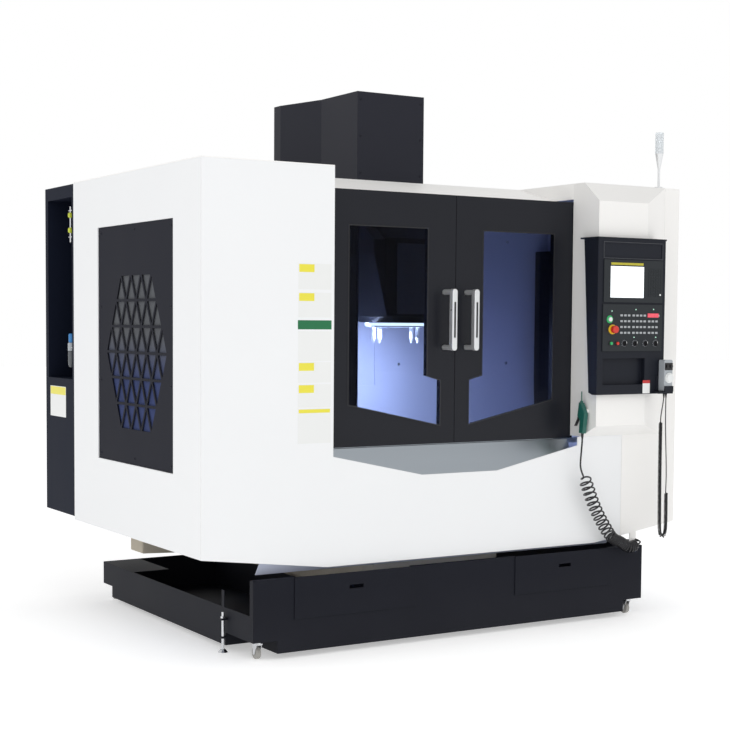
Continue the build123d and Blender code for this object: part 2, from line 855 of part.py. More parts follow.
def door_frame():
    near, far = door_recess, door_back
    inner_edge = door_meeting_gap / 2
    outer_edge = opening_right - door_split + door_overlap
    pan = block(inner_edge, outer_edge, near, far, door_bottom, door_top)
    hollow = block(inner_edge + door_rim, outer_edge - door_rim, near + door_skin, far + 1,
                   door_bottom + door_rim, door_top - door_rim)
    seat = slab_xz(window_outline(16), near + door_skin, far - 6) - slab_xz(window_outline(0), near, far)
    pane_room = slab_xz(window_outline(12), near + door_skin, near + door_skin + pane_thickness)
    groove = block(inner_edge - 1, outer_edge + 1, near + door_thickness / 2 - 4 - running_gap,
                   near + door_thickness / 2 + 4 + running_gap, door_bottom - 1, door_bottom)
    frame = pan - hollow + seat - pane_room - slab_xz(window_outline(0), near - 1, far + 1) - groove
    for z in (handle_bottom + handle_width / 2, handle_top - handle_width / 2):
        frame = frame + rod_y(handle_offset, z, near + door_skin - 1, near + door_skin + 8,
                              handle_post_radius - 3)
    return frame


def window_pane():
    return slab_xz(window_outline(11.5), door_recess + door_skin, door_recess + door_skin + pane_thickness)


def door_handle():
    bar_back = door_recess - handle_standoff
    bar = block(handle_offset - handle_width / 2, handle_offset + handle_width / 2, bar_back - handle_depth,
                bar_back, handle_bottom, handle_top)
    bar = fillet(bar.edges().filter_by(Axis.Y), handle_width / 2 - 1)
    bar = fillet(bar.edges().group_by(Axis.Y)[0], 4)
    middle = (handle_bottom + handle_top) / 2
    slot = block(handle_offset - handle_slot_width / 2, handle_offset + handle_slot_width / 2,
                 bar_back - handle_depth - 1, bar_back - handle_depth + handle_slot_depth,
                 middle - handle_slot_length / 2, middle + handle_slot_length / 2)
    posts = [rod_y(handle_offset, z, bar_back - 1, door_recess, handle_post_radius)
             for z in (handle_bottom + handle_width / 2, handle_top - handle_width / 2)]
    return bar - slot + posts


def right_of_split(shape):
    return Pos(door_split, 0, 0) * shape


def left_of_split(shape):
    return Pos(door_split, 0, 0) * mirror_x(shape)


# Castings
def bay_grid(x0, x1, y0, y1, columns, rows, rib):
    """Pockets between ribs, as the open side of a ribbed casting has them."""
    width = (x1 - x0 - rib * (columns + 1)) / columns
    depth = (y1 - y0 - rib * (rows + 1)) / rows
    for i in range(columns):
        for j in range(rows):
            x = x0 + rib + i * (width + rib)
            y = y0 + rib + j * (depth + rib)
            yield x, x + width, y, y + depth


def bed_casting():
    bed = block(-bed_half, bed_half, bed_front, bed_back, bed_bottom, bed_top)
    bed = chamfer(bed.edges().filter_by(Axis.Z).group_by(Axis.Y)[0], 40)
    pockets = [block(*bay, bed_bottom - 1, bed_top - 70)
               for bay in bay_grid(-bed_half, bed_half, bed_front, bed_back, bed_bay_columns, bed_bay_rows,
                                   bed_rib)]
    bed = bed - pockets
    for side in (-1, 1):
        x0, x1 = sorted((side * (column_half + 10), side * (bed_half + 1)))
        bed = bed - block(x0, x1, side_depth - 15, bed_back + 1, corner_bottom - 10, bed_top + 1)
        x = side * rail_foot_half
        bed = bed + block(x - rail_width / 2, x + rail_width / 2, bed_front + 10, rail_end,
                          bed_top, bed_top + rail_height)
        bed = bed + slab_xz(((side * (bed_half - 1), 300), (side * (half - 300), 400),
                             (side * (half - 300), corner_bottom), (side * (half - 480), corner_bottom),
                             (side * (bed_half - 1), 470)), 1440, 1540)
    return bed


def foot_places():
    for x in (-bed_half + bed_rib / 2, bed_half - bed_rib / 2):
        for y in (bed_front + 90, (bed_front + bed_back) / 2, bed_back - 70):
            yield x, y


def levelling_feet():
    return [rod_z(x, y, 0, foot_height, foot_radius) + rod_z(x, y, foot_height, bed_bottom, foot_stud_radius)
            for x, y in foot_places()]


def column_casting():
    base = block(-column_half, column_half, column_front, bed_back, bed_top, column_top)
    pockets = []
    for x0, x1, z0, z1 in bay_grid(-column_half, column_half, bed_top, column_top, column_bay_columns,
                                   column_bay_rows, column_rib):
        pockets.append(block(x0, x1, column_front + 60, bed_back + 1, z0, z1))
    column = base - pockets
    for side in (-1, 1):
        x = side * z_rail_half
        column = column + block(x - rail_width / 2, x + rail_width / 2, z_rail_front, column_front,
                                z_rail_low, column_top - 10)
    arm_y = magazine_y + magazine_thickness + pot_length + 20
    arm = slab_xz(((-column_half + 1, magazine_z - magazine_arm_height), (-column_half + 1, magazine_z
                   + magazine_arm_height), (magazine_x - 60, magazine_z + 60),
                   (magazine_x - 60, magazine_z - 60)),
                  arm_y, arm_y + magazine_arm_thickness)
    pin = rod_y(magazine_x, magazine_z, magazine_y - 8, arm_y + 1, magazine_pin_radius)
    return column + arm + pin


def tool_magazine():
    """Disc that turns on the column's pin, with a ring of tool pots."""
    disc = rod_y(magazine_x, magazine_z, magazine_y, magazine_y + magazine_thickness, magazine_radius)
    hub = rod_y(magazine_x, magazine_z, magazine_y, magazine_y + magazine_thickness + 50,
                magazine_pin_radius + 34)
    pots = []
    bores = []
    for index in range(magazine_pots):
        angle = 2 * math.pi * index / magazine_pots
        x = magazine_x + (magazine_radius - 22) * math.cos(angle)
        z = magazine_z + (magazine_radius - 22) * math.sin(angle)
        pots.append(rod_y(x, z, magazine_y + 2, magazine_y + magazine_thickness + pot_length, pot_radius))
        bores.append(rod_y(x, z, magazine_y - 1, magazine_y + 60, taper_mouth_radius))
    bore = rod_y(magazine_x, magazine_z, magazine_y - 1, magazine_y + 200, magazine_pin_radius + spindle_fit)
    return disc + hub + pots - bores - bore


# Moving axes
def saddle():
    body = block(-saddle_half, saddle_half, spindle_y - saddle_depth / 2, spindle_y + saddle_depth / 2,
                 saddle_bottom + 28, saddle_top)
    pads = [block(side * rail_foot_half - 50, side * rail_foot_half + 50, y - 70, y + 70,
                  saddle_bottom, saddle_bottom + 28)
            for side in (-1, 1) for y in (spindle_y - saddle_depth / 2 + 75,
                                          spindle_y + saddle_depth / 2 - 75)]
    rails = [block(-saddle_half, saddle_half, spindle_y + side * x_rail_offset - rail_width / 2,
                   spindle_y + side * x_rail_offset + rail_width / 2, saddle_top, saddle_top + rail_height)
             for side in (-1, 1)]
    return body + pads + rails


def table():
    body = block(-table_half, table_half, spindle_y - table_depth / 2, spindle_y + table_depth / 2,
                 table_bottom + 26, table_top)
    pads = [block(x - 70, x + 70, spindle_y + side * x_rail_offset - 50,
                  spindle_y + side * x_rail_offset + 50,
                  table_bottom, table_bottom + 26)
            for side in (-1, 1) for x in (-saddle_half + 80, saddle_half - 80)]
    slots = []
    for step in (-1, 0, 1):
        y = spindle_y + step * t_slot_pitch
        slots.append(block(-table_half - 1, table_half + 1, y - t_slot_width / 2, y + t_slot_width / 2,
                           table_top - t_slot_neck - t_slot_foot_height, table_top + 1))
        slots.append(block(-table_half - 1, table_half + 1, y - t_slot_foot_width / 2,
                           y + t_slot_foot_width / 2,
                           table_top - t_slot_neck - t_slot_foot_height, table_top - t_slot_neck))
    return body + pads - slots


def spindle_head():
    """Head casting on its slide plate, tapered to the nose, with the drive motor on top."""
    head_top = head_bottom + head_height
    front = ((-head_nose_half, head_bottom), (head_nose_half, head_bottom), (head_half, head_shoulder),
             (head_half, head_top), (-head_half, head_top), (-head_half, head_shoulder))
    nose_back = spindle_y + 190
    side = ((head_front + 30, head_bottom), (nose_back, head_bottom), (head_back - 10, head_shoulder),
            (head_back - 10, head_top), (head_front + 90, head_top), (head_front, head_top - 70),
            (head_front, head_bottom + 60))
    casting = slab_xz(front, head_front, head_back) & slab_yz(side, -head_half, head_half)
    plate = block(-head_plate_half, head_plate_half, head_back - head_plate_thickness, head_back,
                  head_shoulder - 90, head_top)
    cowl_outline = ((-cowl_foot_half, cowl_foot_z), (cowl_foot_half, cowl_foot_z),
                    (cowl_half, head_top - 150),
                    (cowl_half, head_top - 20), (-cowl_half, head_top - 20), (-cowl_half, head_top - 150))
    cowl_side = ((head_front + 4, cowl_foot_z), (cowl_back, cowl_foot_z), (cowl_back, head_top - 20),
                 (head_front + 90, head_top - 20), (head_front + 4, head_top - 80))
    cowl = slab_xz(cowl_outline, head_front, cowl_back) & slab_yz(cowl_side, -cowl_half, cowl_half)
    front_plate = block(-cowl_plate_half, cowl_plate_half, head_front - cowl_plate_rise, head_front + 6,
                        cowl_foot_z + 14, head_top - 96)
    front_plate = fillet(front_plate.edges().filter_by(Axis.Y), 10)
    for step in range(cowl_vents):
        z = head_top - 240 + step * cowl_vent_pitch
        front_plate = front_plate - block(-cowl_plate_half + 26, cowl_plate_half - 26,
                                          head_front - cowl_plate_rise - 1, head_front - 3, z, z + 9)
    casting = casting + cowl + front_plate
    lighten = block(-head_half + 40, head_half - 40, motor_y + motor_radius + 20, head_back - 70,
                    head_shoulder + 40, head_top + 1)
    motor = rod_z(0, motor_y, head_top, head_top + motor_height, motor_radius)
    motor = motor + rod_z(0, motor_y, head_top, head_top + 26, motor_radius + 24)
    bore = rod_z(0, spindle_y, head_bottom - 1, head_bottom + spindle_length + 8,
                 spindle_radius + spindle_fit)
    return casting + plate - lighten + motor - bore


def spindle():
    nose_low = head_bottom - spindle_nose
    shaft = rod_z(0, spindle_y, head_bottom - running_gap, head_bottom + spindle_length, spindle_radius)
    nose = rod_z(0, spindle_y, nose_low, head_bottom - running_gap, spindle_radius + 8)
    taper = Pos(0, spindle_y, nose_low - 0.5) * Cone(taper_mouth_radius, taper_end_radius, taper_depth,
                                                     align=(Align.CENTER, Align.CENTER, Align.MIN))
    keys = [block(side * 46 - 12, side * 46 + 12, spindle_y - 8, spindle_y + 8, nose_low - 6, nose_low + 1)
            for side in (-1, 1)]
    return shaft + nose + keys - taper


def ring_lamp():
    """Round lamp housing under the head with two coolant nozzles."""
    low = head_bottom - ring_height
    ring = rod_z(0, spindle_y, low, head_bottom, ring_radius) - rod_z(0, spindle_y, low - 1, head_bottom + 1,
                                                                      ring_bore)
    ring = ring - (rod_z(0, spindle_y, low - 1, low + 6, ring_radius - 10)
                   - rod_z(0, spindle_y, low - 2, low + 7, ring_bore + 14))
    nozzles = []
    for side in (-1, 1):
        for step in (-1, 1):
            x = side * nozzle_reach
            y = spindle_y + step * 30
            stem = rod_z(x, y, low - nozzle_length, low + 8, nozzle_radius)
            tip = Pos(x, y, low - nozzle_length) * Cone(4, nozzle_radius, 22, align=(
                Align.CENTER, Align.CENTER, Align.MAX))
            nozzles.append(stem + tip)
    return ring + nozzles


def head_way_cover():
    """Flat cover that hangs from the head and runs behind the rear guard."""
    near = guard_y + sheet + 2
    plate = block(-way_cover_half, way_cover_half, near, near + way_cover_sheet, way_cover_low,
                  head_shoulder - 90 - running_gap)
    flange_back = head_back - head_plate_thickness
    lip = block(-way_cover_half, way_cover_half, near, flange_back + 24, head_shoulder - 90 - way_cover_sheet,
                head_shoulder - 90)
    return plate + lip


# Guards inside and chip pan
def inner_rear_guard():
    """Rear wall of the work space with its crease, split by the slot that the head moves in."""
    wall = ((guard_y, guard_crease), (guard_y, roof_height - sheet), (guard_y + sheet, roof_height - sheet),
            (guard_y + sheet, guard_crease), (guard_foot_y + sheet, guard_foot_z),
            (guard_foot_y + sheet, bed_top), (guard_foot_y, bed_top), (guard_foot_y, guard_foot_z))
    skin = slab_yz(wall, -chute_outer, chute_outer)
    sides = [block(x, x + side_guard_sheet, side_guard_front, guard_y + sheet, chute_top, roof_height - sheet)
             for x in (-chute_outer, chute_outer - side_guard_sheet)]
    slot = block(-guard_slot_half, guard_slot_half, guard_foot_y - 1, guard_y + fold, guard_slot_low,
                 roof_height)
    roof_room = block(-head_plate_half - 20, head_plate_half + 20, guard_y - 1, guard_y + sheet + 1,
                      roof_height - 3 * sheet, roof_height)
    return skin + sides - slot - roof_room


def chip_pan():
    """Two inner chutes over the tank and the front lip."""
    chute = ((-chute_outer, chute_top), (-chute_inner, chute_low), (-chute_inner, chute_low - sheet),
             (-chute_outer, chute_top - sheet))
    left_chute = slab_xz(chute, chute_front, guard_foot_y)
    lip = slab_yz(((sheet, knee_bottom + 60), (2 * sheet, knee_bottom + 60),
                   (lip_back, lip_low),
                   (lip_back - sheet, lip_low)), -half + 300, half - 420)
    return [left_chute, mirror_x(left_chute), lip]


# Rear cabinet
def hinge_axis_y():
    return back + hinge_barrel_radius + hinge_air


def cabinet_hinge_pins():
    """Pins on brackets that reach round from the cabinet's side, one per hinge."""
    y = hinge_axis_y()
    bracket_root = back - cabinet_door_thickness - cabinet_door_gap - 40
    pins = []
    for z in hinge_heights:
        low = z - hinge_knuckle_length / 2 - 0.5
        high = z + hinge_knuckle_length / 2 + 0.5
        pin = rod_z(cabinet_right, y, low - hinge_cap_length, high + hinge_cap_length, hinge_pin_radius)
        for z0, z1 in ((low - hinge_cap_length, low), (high, high + hinge_cap_length)):
            pin = pin + rod_z(cabinet_right, y, z0, z1, hinge_barrel_radius)
            pin = pin + block(cabinet_right + hinge_air, cabinet_right + hinge_air + hinge_leaf,
                              bracket_root, y, z0, z1)
            pin = pin + block(cabinet_right - 1, cabinet_right + hinge_air + hinge_leaf, bracket_root,
                              bracket_root + 24, z0, z1)
        pins.append(pin)
    return pins


def door_hinge_knuckles():
    """Bored knuckles with a leaf on the door's back, one per hinge."""
    y = hinge_axis_y()
    knuckles = []
    for z in hinge_heights:
        z0 = z - hinge_knuckle_length / 2
        z1 = z + hinge_knuckle_length / 2
        knuckle = rod_z(cabinet_right, y, z0, z1, hinge_barrel_radius)
        knuckle = knuckle + block(cabinet_right - hinge_leaf_width, cabinet_right, back - 1,
                                  back + hinge_leaf, z0, z1)
        knuckles.append(knuckle - rod_z(cabinet_right, y, z0 - 1, z1 + 1, hinge_pin_radius + hinge_pin_fit))
    return knuckles


def electrical_cabinet():
    rear = back - cabinet_door_thickness - cabinet_door_gap
    body = block(-half, cabinet_right, side_depth, rear, cabinet_low, cabinet_high)
    split = -half + niche_width
    room = block(split + cabinet_wall, cabinet_right - cabinet_wall, side_depth + cabinet_wall, rear + 1,
                 cabinet_low + cabinet_wall, cabinet_high - cabinet_wall)
    niche = block(-half - 1, split, side_depth + niche_margin, rear - niche_margin, niche_low, niche_high)
    under = block(-half + cabinet_wall, split, side_depth + cabinet_wall, rear - cabinet_wall,
                  cabinet_low - 1, niche_low - cabinet_wall)
    side_cover = block(-half, -half + cabinet_wall, rear, back, cabinet_low, cabinet_high)
    rear_cover = block(-half, split, rear - 1, back, cabinet_low, cabinet_high)
    cheek = block(cabinet_right - cabinet_wall, cabinet_right, rear - 1, rear,
                  cabinet_low, cabinet_high)
    return body - room - niche - under + side_cover + rear_cover + cheek + cabinet_hinge_pins()


def cabinet_door():
    rear = back - cabinet_door_thickness
    left = -half + niche_width + 2
    door = block(left, cabinet_right, rear, back, cabinet_low + 2, cabinet_high - 2)
    inner = block(left + 20, cabinet_right - 20, rear - 1, back - sheet, cabinet_low + 24, cabinet_high - 24)
    louvres = [block(left + 180, cabinet_right - 180, back - 2, back + 1, z, z + 8)
               for step in range(2) for z in [cabinet_low + 160 + row * 24 + step * 1280 for row in range(7)]]
    return door - inner - louvres + door_hinge_knuckles()


def air_preparation_unit():
    """Regulator and filter with their bowls, on the rear wall of the niche's front end."""
    near = side_depth + niche_margin
    x = -half + 34
    body = block(x, x + air_unit_block, near, near + air_unit_back, air_unit_low + air_bowl_length,
                 air_unit_low + air_bowl_length + air_unit_block)
    body = fillet(body.edges().filter_by(Axis.Y), 6)
    second = Pos(air_unit_block + 4, 0, 0) * body
    link = block(x + 10, x + air_unit_block + 40, near + 24, near + 66, air_unit_low + air_bowl_length + 16,
                 air_unit_low + air_bowl_length + 46)
    parts = body + second + link
    for place in (x + air_unit_block / 2, x + air_unit_block * 1.5 + 4):
        bowl = rod_z(place, near + air_unit_back / 2, air_unit_low, air_unit_low + air_bowl_length + 1,
                     air_bowl_radius)
        bowl = fillet(bowl.edges().group_by(Axis.Z)[0], 12)
        cap = rod_z(place, near + air_unit_back / 2, air_unit_low + air_bowl_length + air_unit_block - 1,
                    air_unit_low + air_bowl_length + air_unit_block + 34, air_bowl_radius - 6)
        parts = parts + bowl + cap
    return parts


# Coolant tank
def tank_plan(inset):
    outer = tank_half - inset
    gate = tank_gate_half + inset
    return ((-outer, tank_front + inset), (outer, tank_front + inset), (outer, tank_back - inset),
            (gate, tank_back - inset), (gate, tank_gate_front - inset), (-gate, tank_gate_front - inset),
            (-gate, tank_back - inset), (-outer, tank_back - inset))


def tank_corner_cuts(grow, high):
    cuts = []
    for side in (-1, 1):
        x0, x1 = sorted((side * (tank_corner_half - grow), side * (tank_half + 1)))
        cuts.append(block(x0, x1, tank_front - 1, tank_corner_front + grow, tank_bottom - 1, high))
        cuts.append(block(x0, x1, tank_corner_back - grow, tank_back + 1, tank_bottom - 1, high))
    return cuts


def coolant_tank():
    """U-shaped tray round the bed with a tall front, raised corners and drawer mouths."""
    shell = slab_xy(tank_plan(0), tank_bottom, tank_side_top)
    front = block(-tank_half, tank_half, tank_front, tank_front + tank_upstand, tank_bottom, tank_front_top)
    tray = shell + front - tank_corner_cuts(0, tank_corner_z)
    room = slab_xy(tank_plan(tank_wall), tank_bottom + tank_wall, tank_side_top + 1)
    for cut in tank_corner_cuts(tank_wall, tank_corner_z + tank_wall):
        room = room - cut
    room = room - block(-tank_half, tank_half, tank_front, tank_front + tank_upstand, 0, tank_front_top)
    tray = tray - room
    for left, right in (drawer_left_edges, drawer_right_edges):
        tray = tray - block(left + drawer_bin_inset - 3, right - drawer_bin_inset + 3, tank_front - 1,
                            tank_front + tank_upstand + 1, drawer_low + 6, tank_front_top + 1)
    ledge_z = drawer_low + 6
    for left, right in (drawer_left_edges, drawer_right_edges):
        for x in (left + 60, right - 60):
            tray = tray + block(x - 12, x + 12, tank_front + tank_upstand - 1,
                                tank_gate_front - tank_wall + 1,
                                ledge_z - 10, ledge_z)
    tray = tray + block(-tank_half, -tank_cover_inner, tank_cover_front, tank_back, tank_side_top - tank_wall,
                        tank_side_top)
    for side in (-1, 1):
        x = side * (tank_half + jack_stand)
        lug = block(min(x - side * jack_stand, x + side * 12), max(x - side * jack_stand, x + side * 12),
                    jack_y - 14, jack_y + 14, jack_top - jack_lug - 30, jack_top - 30)
        low_lug = Pos(0, 0, -86) * lug
        tab_x = sorted((side * (tank_half - tank_wall), side * tank_half))
        tab = block(tab_x[0], tab_x[1], jack_y + 24, jack_y + 52, tank_side_top - 2,
                    tank_side_top + jack_tab_height)
        bore = rod_z(x, jack_y, 0, jack_top, jack_radius + running_gap)
        tray = tray + lug + low_lug + tab - bore
    return tray


def tank_supports():
    """Plated caster forks under the raised corners and the two jack screws."""
    pieces = []
    for side in (-1, 1):
        for y in (caster_front_y, caster_back_y):
            x = side * caster_x
            plate = block(x - 24, x + 24, y - 26, y + 26, tank_corner_z - fork_plate, tank_corner_z)
            neck = rod_z(x, y, tank_corner_z - 14, tank_corner_z - fork_plate + 1, 17)
            crown = block(x - caster_width / 2 - 1 - fork_arm, x + caster_width / 2 + 1 + fork_arm, y - 17,
                          y + caster_trail + 10, tank_corner_z - 18, tank_corner_z - 13)
            arms = []
            for edge in (-1, 1):
                x0, x1 = sorted((x + edge * (caster_width / 2 + 1),
                                 x + edge * (caster_width / 2 + 1 + fork_arm)))
                arms.append(slab_yz(((y - 14, tank_corner_z - 14),
                                     (y + caster_trail + 10, tank_corner_z - 14),
                                     (y + caster_trail + 8, caster_radius - 8), (y + caster_trail - 8,
                                                                                 caster_radius - 8)), x0, x1))
            axle = rod_x(y + caster_trail, caster_radius, x - caster_width / 2 - 2, x + caster_width / 2 + 2,
                         caster_bore)
            pieces.append(plate + neck + crown + arms + axle)
        jack_x = side * (tank_half + jack_stand)
        screw = rod_z(jack_x, jack_y, jack_foot_height - 1, jack_top, jack_radius)
        foot = Pos(jack_x, jack_y, 0) * Cone(jack_foot_radius, jack_radius + 5, jack_foot_height + 6,
                                             align=(Align.CENTER, Align.CENTER, Align.MIN))
        nut = Pos(jack_x, jack_y, jack_top - 30) * extrude(RegularPolygon(12, 6), amount=10)
        pieces.append(screw + foot + nut)
    return pieces


def caster_wheel(side, y):
    wheel = rod_x(y + caster_trail, caster_radius, side * caster_x - caster_width / 2,
                  side * caster_x + caster_width / 2, caster_radius)
    wheel = fillet(wheel.edges(), 4)
    return wheel - rod_x(y + caster_trail, caster_radius, side * caster_x - 30, side * caster_x + 30,
                         caster_bore + 0.05)


def chip_drawer(edges):
    """Front plate with a hand slot, folded over the tank's edge, and the bin behind it."""
    left, right = edges
    front = tank_front - drawer_gap - drawer_plate
    plate = block(left, right, front, tank_front - drawer_gap, drawer_low, tank_front_top + drawer_gap + 2)
    middle = (left + right) / 2
    slot = block(middle - drawer_slot_length / 2, middle + drawer_slot_length / 2, front - 1, tank_front + 20,
                 drawer_slot_z - drawer_slot_height / 2, drawer_slot_z + drawer_slot_height / 2)
    x0, x1 = left + drawer_bin_inset, right - drawer_bin_inset
    low = drawer_low + 6 + drawer_gap
    rear = tank_front + drawer_depth
    bin_form = slab_yz(((tank_front - drawer_gap - 1, low), (rear - 30, low), (rear, low + 60),
                        (rear, drawer_bin_top - 90),
                        (tank_front - drawer_gap - 1, drawer_bin_top)), x0, x1)
    room = slab_yz(((tank_front + 4, low + 3), (rear - 31, low + 3), (rear - 3, low + 61),
                    (rear - 3, drawer_bin_top),
                    (tank_front + 4, drawer_bin_top + 1)), x0 + 3, x1 - 3)
    return plate + bin_form - room - slot


# Air gun
def air_gun_body():
    grip = slab_yz(gun_outline, gun_x - gun_thickness / 2, gun_x + gun_thickness / 2)
    grip = fillet(grip.edges().group_by(Axis.X)[0] + grip.edges().group_by(Axis.X)[-1], gun_fillet)
    nozzle = rod_z(gun_x, gun_nozzle_y, 1136, 1142 + gun_nozzle_length, gun_nozzle_radius)
    collar = rod_z(gun_x, gun_nozzle_y, 1136, 1150, 8)
    mouth = block(gun_x - trigger_width / 2 - 1, gun_x + trigger_width / 2 + 1, trigger_pivot[0] - 9,
                  trigger_pivot[0] + 40, trigger_pivot[1] - 40, trigger_pivot[1] + 9)
    pin = rod_x(trigger_pivot[0], trigger_pivot[1], gun_x - trigger_width / 2 - 3,
                gun_x + trigger_width / 2 + 3, trigger_pin_radius)
    return grip + nozzle + collar - mouth + pin


def gun_trigger():
    lean = math.radians(trigger_lean)
    y, z = trigger_pivot
    tip_y = y + trigger_length * math.sin(lean)
    tip_z = z - trigger_length * math.cos(lean)
    thick = trigger_thickness / 2
    lever = slab_yz(((y - thick, z), (y + thick, z), (y + thick + 8, z - 30), (tip_y + thick, tip_z),
                     (tip_y - thick, tip_z), (y + 2, z - 28)), gun_x - trigger_width / 2,
                     gun_x + trigger_width / 2)
    eye = rod_x(y, z, gun_x - trigger_width / 2, gun_x + trigger_width / 2, 7)
    return lever + eye - rod_x(y, z, gun_x - 30, gun_x + 30, trigger_pin_radius + 0.05)


# Cords
def cord_path(name, points):
    """Straight runs joined by arcs as large as the runs allow."""
    vectors = [Vector(*point) for point in points]
    radii = []
    for before, here, after in zip(vectors, vectors[1:], vectors[2:]):
        first = here - before
        second = after - here
        turn = math.radians(first.get_angle(second))
        shorter = min(first.length, second.length)
        radii.append(0.45 * shorter / math.tan(turn / 2))
    print(name, "radii", [round(radius) for radius in radii])
    if not radii:
        return Line(points[0], points[-1])
    return FilletPolyline(*points, radius=radii)


def cord_tube(name, points, radius):
    path = cord_path(name, points)
    start = Plane(origin=path @ 0, z_dir=path % 0)
    tube = sweep(start * Circle(radius), path=path)
    print(name, "length", round(path.length), "volume share",
          round(tube.volume / (math.pi * radius ** 2 * path.length), 4))
    return tube


def main():
    os.makedirs("parts", exist_ok=True)
    node("front_panel", front_panel())
    node("front_right_panel", front_right_panel())
    node("sill_tray", sill_tray())
    node("left_side_panel", left_side_panel())
    node("right_side_panel", right_side_panel())
    node("vent_cover", vent_cover())
    node("roof_panel", roof_panel())
    node("column_cover", column_cover())
    node("rear_wall", rear_wall())
    node("operator_box", operator_box())
    node("console_housing", console_housing())
    node("console_faceplates", display_plate(), operator_plate())
    node("display_screen", display_screen())
    node("power_button", push_button(power_x, power_z, power_radius))
    node("start_button", push_button(start_x, button_z, button_radius))
    node("stop_button", push_button(end_x, button_z, button_radius))
    node("emergency_stop", emergency_stop())
    for index, x in enumerate(knob_places):
        node("rotary_knob_%d" % (index + 1), rotary_knob(x))
    node("pendant_body", pendant_body())
    node("handwheel_dial", handwheel_dial())
    node("signal_pole", signal_pole())
    node("signal_lens", signal_lens())
    for side, place in (("right", right_of_split), ("left", left_of_split)):
        node("%s_door_frame" % side, place(door_frame()))
        node("%s_window" % side, place(window_pane()))
        node("%s_handle" % side, place(door_handle()))
    node("bed_casting", bed_casting())
    node("levelling_feet", *levelling_feet())
    node("column_casting", column_casting())
    node("tool_magazine", tool_magazine())
    node("saddle", saddle())
    node("table", table())
    node("spindle_head", spindle_head())
    node("spindle", spindle())
    node("ring_lamp", ring_lamp())
    node("head_way_cover", head_way_cover())
    node("inner_rear_guard", inner_rear_guard())
    node("chip_pan", *chip_pan())
    node("electrical_cabinet", electrical_cabinet())
    node("cabinet_door", cabinet_door())
    node("air_preparation_unit", air_preparation_unit())
    node("coolant_tank", coolant_tank())
    node("tank_supports", *tank_supports())
    wheels = {"front_left": (-1, caster_front_y), "front_right": (1, caster_front_y),
              "rear_left": (-1, caster_back_y), "rear_right": (1, caster_back_y)}
    for place, (side, y) in wheels.items():
        node("caster_wheel_%s" % place, caster_wheel(side, y))
    node("left_chip_drawer", chip_drawer(drawer_left_edges))
    node("right_chip_drawer", chip_drawer(drawer_right_edges))
    node("air_gun_body", air_gun_body())
    node("gun_trigger", gun_trigger())
    node("air_hose_tube", cord_tube("hose", hose_route, hose_radius),
         cord_tube("hose tail", hose_tail_route, hose_radius))
    node("air_hose_coil", cord_tube("hose coil", coil_route, hose_coil_radius))
    node("pendant_cord_leads", cord_tube("lead down", lead_down_route, cord_radius),
         cord_tube("lead up", lead_up_route, cord_radius))
    node("pendant_curly_cord", cord_tube("curl", curl_route, curl_radius))


main()
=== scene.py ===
# %% [markdown]
# # A machining centre, dressed for its picture
# The engineers' model gives every piece its size and place. What it lacks is paint, glass, light
# and the small things that make sheet metal look like sheet metal. We load that model first and
# never move it. Everything below is either a finish for one of its pieces or a new piece that
# rides along with it.

# %% Load the machine
import math
import bmesh
import bpy
from mathutils import Matrix, Vector


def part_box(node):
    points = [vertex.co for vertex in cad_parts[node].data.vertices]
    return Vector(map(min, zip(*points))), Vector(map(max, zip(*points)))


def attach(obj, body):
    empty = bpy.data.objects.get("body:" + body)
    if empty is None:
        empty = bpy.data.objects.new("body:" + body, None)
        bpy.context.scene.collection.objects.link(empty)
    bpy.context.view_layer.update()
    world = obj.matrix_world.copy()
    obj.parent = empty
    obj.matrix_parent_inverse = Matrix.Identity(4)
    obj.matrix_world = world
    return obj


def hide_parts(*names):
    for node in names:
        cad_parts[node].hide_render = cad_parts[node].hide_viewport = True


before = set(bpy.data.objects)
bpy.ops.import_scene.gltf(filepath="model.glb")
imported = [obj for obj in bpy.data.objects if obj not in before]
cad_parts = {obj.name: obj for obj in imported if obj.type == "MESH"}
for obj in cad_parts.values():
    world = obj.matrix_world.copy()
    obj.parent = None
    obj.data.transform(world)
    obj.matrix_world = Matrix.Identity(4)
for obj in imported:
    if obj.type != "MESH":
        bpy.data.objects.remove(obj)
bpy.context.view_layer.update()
scene = bpy.context.scene
scene.view_settings.view_transform = "Standard"

# %% [markdown]
# ## Measuring from the front sheet
# On the drawings of such a machine, depth is counted from the front sheet and not from the
# middle of the floor space. We keep that habit: `at` takes millimetres from the machine's centre
# line, the front sheet and the floor, and gives a point in Blender's metres. The front sheet's
# place is read from the model, so nothing needs fitting later.

# %% A point on the machine
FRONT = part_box("front_panel")[0][1]


def at(x, y, z):
    return Vector((x / 1000, FRONT + y / 1000, z / 1000))


print("front sheet lies at", round(FRONT, 4))

# %% [markdown]
# ## The camera
# The view is from the left front corner, through a fairly long lens at eye height. A camera
# in Blender looks along its own -Z, so its matrix is built from three directions: right, up and
# backward. The picture was cropped after it was taken, so the lens axis isn't in its middle, and
# `shift_y` moves the frame rather than tilting the camera, which would make the walls lean.

# %% Place the camera
PICTURE_WIDTH = 730
LENS_PLACE = at(-4227.7, -6000, 1550)
lens_pixels = 1495
axis_below_middle = 47.2
turn, tilt, lean = (math.radians(angle) for angle in (31.46, 3.48, 0.42))
level_ahead = Vector((math.sin(turn), math.cos(turn), 0))
level_right = Vector((math.cos(turn), -math.sin(turn), 0))
ahead = level_ahead * math.cos(tilt) - Vector((0, 0, 1)) * math.sin(tilt)
overhead = Vector((0, 0, 1)) * math.cos(tilt) + level_ahead * math.sin(tilt)
right = level_right * math.cos(lean) + overhead * math.sin(lean)
up = overhead * math.cos(lean) - level_right * math.sin(lean)

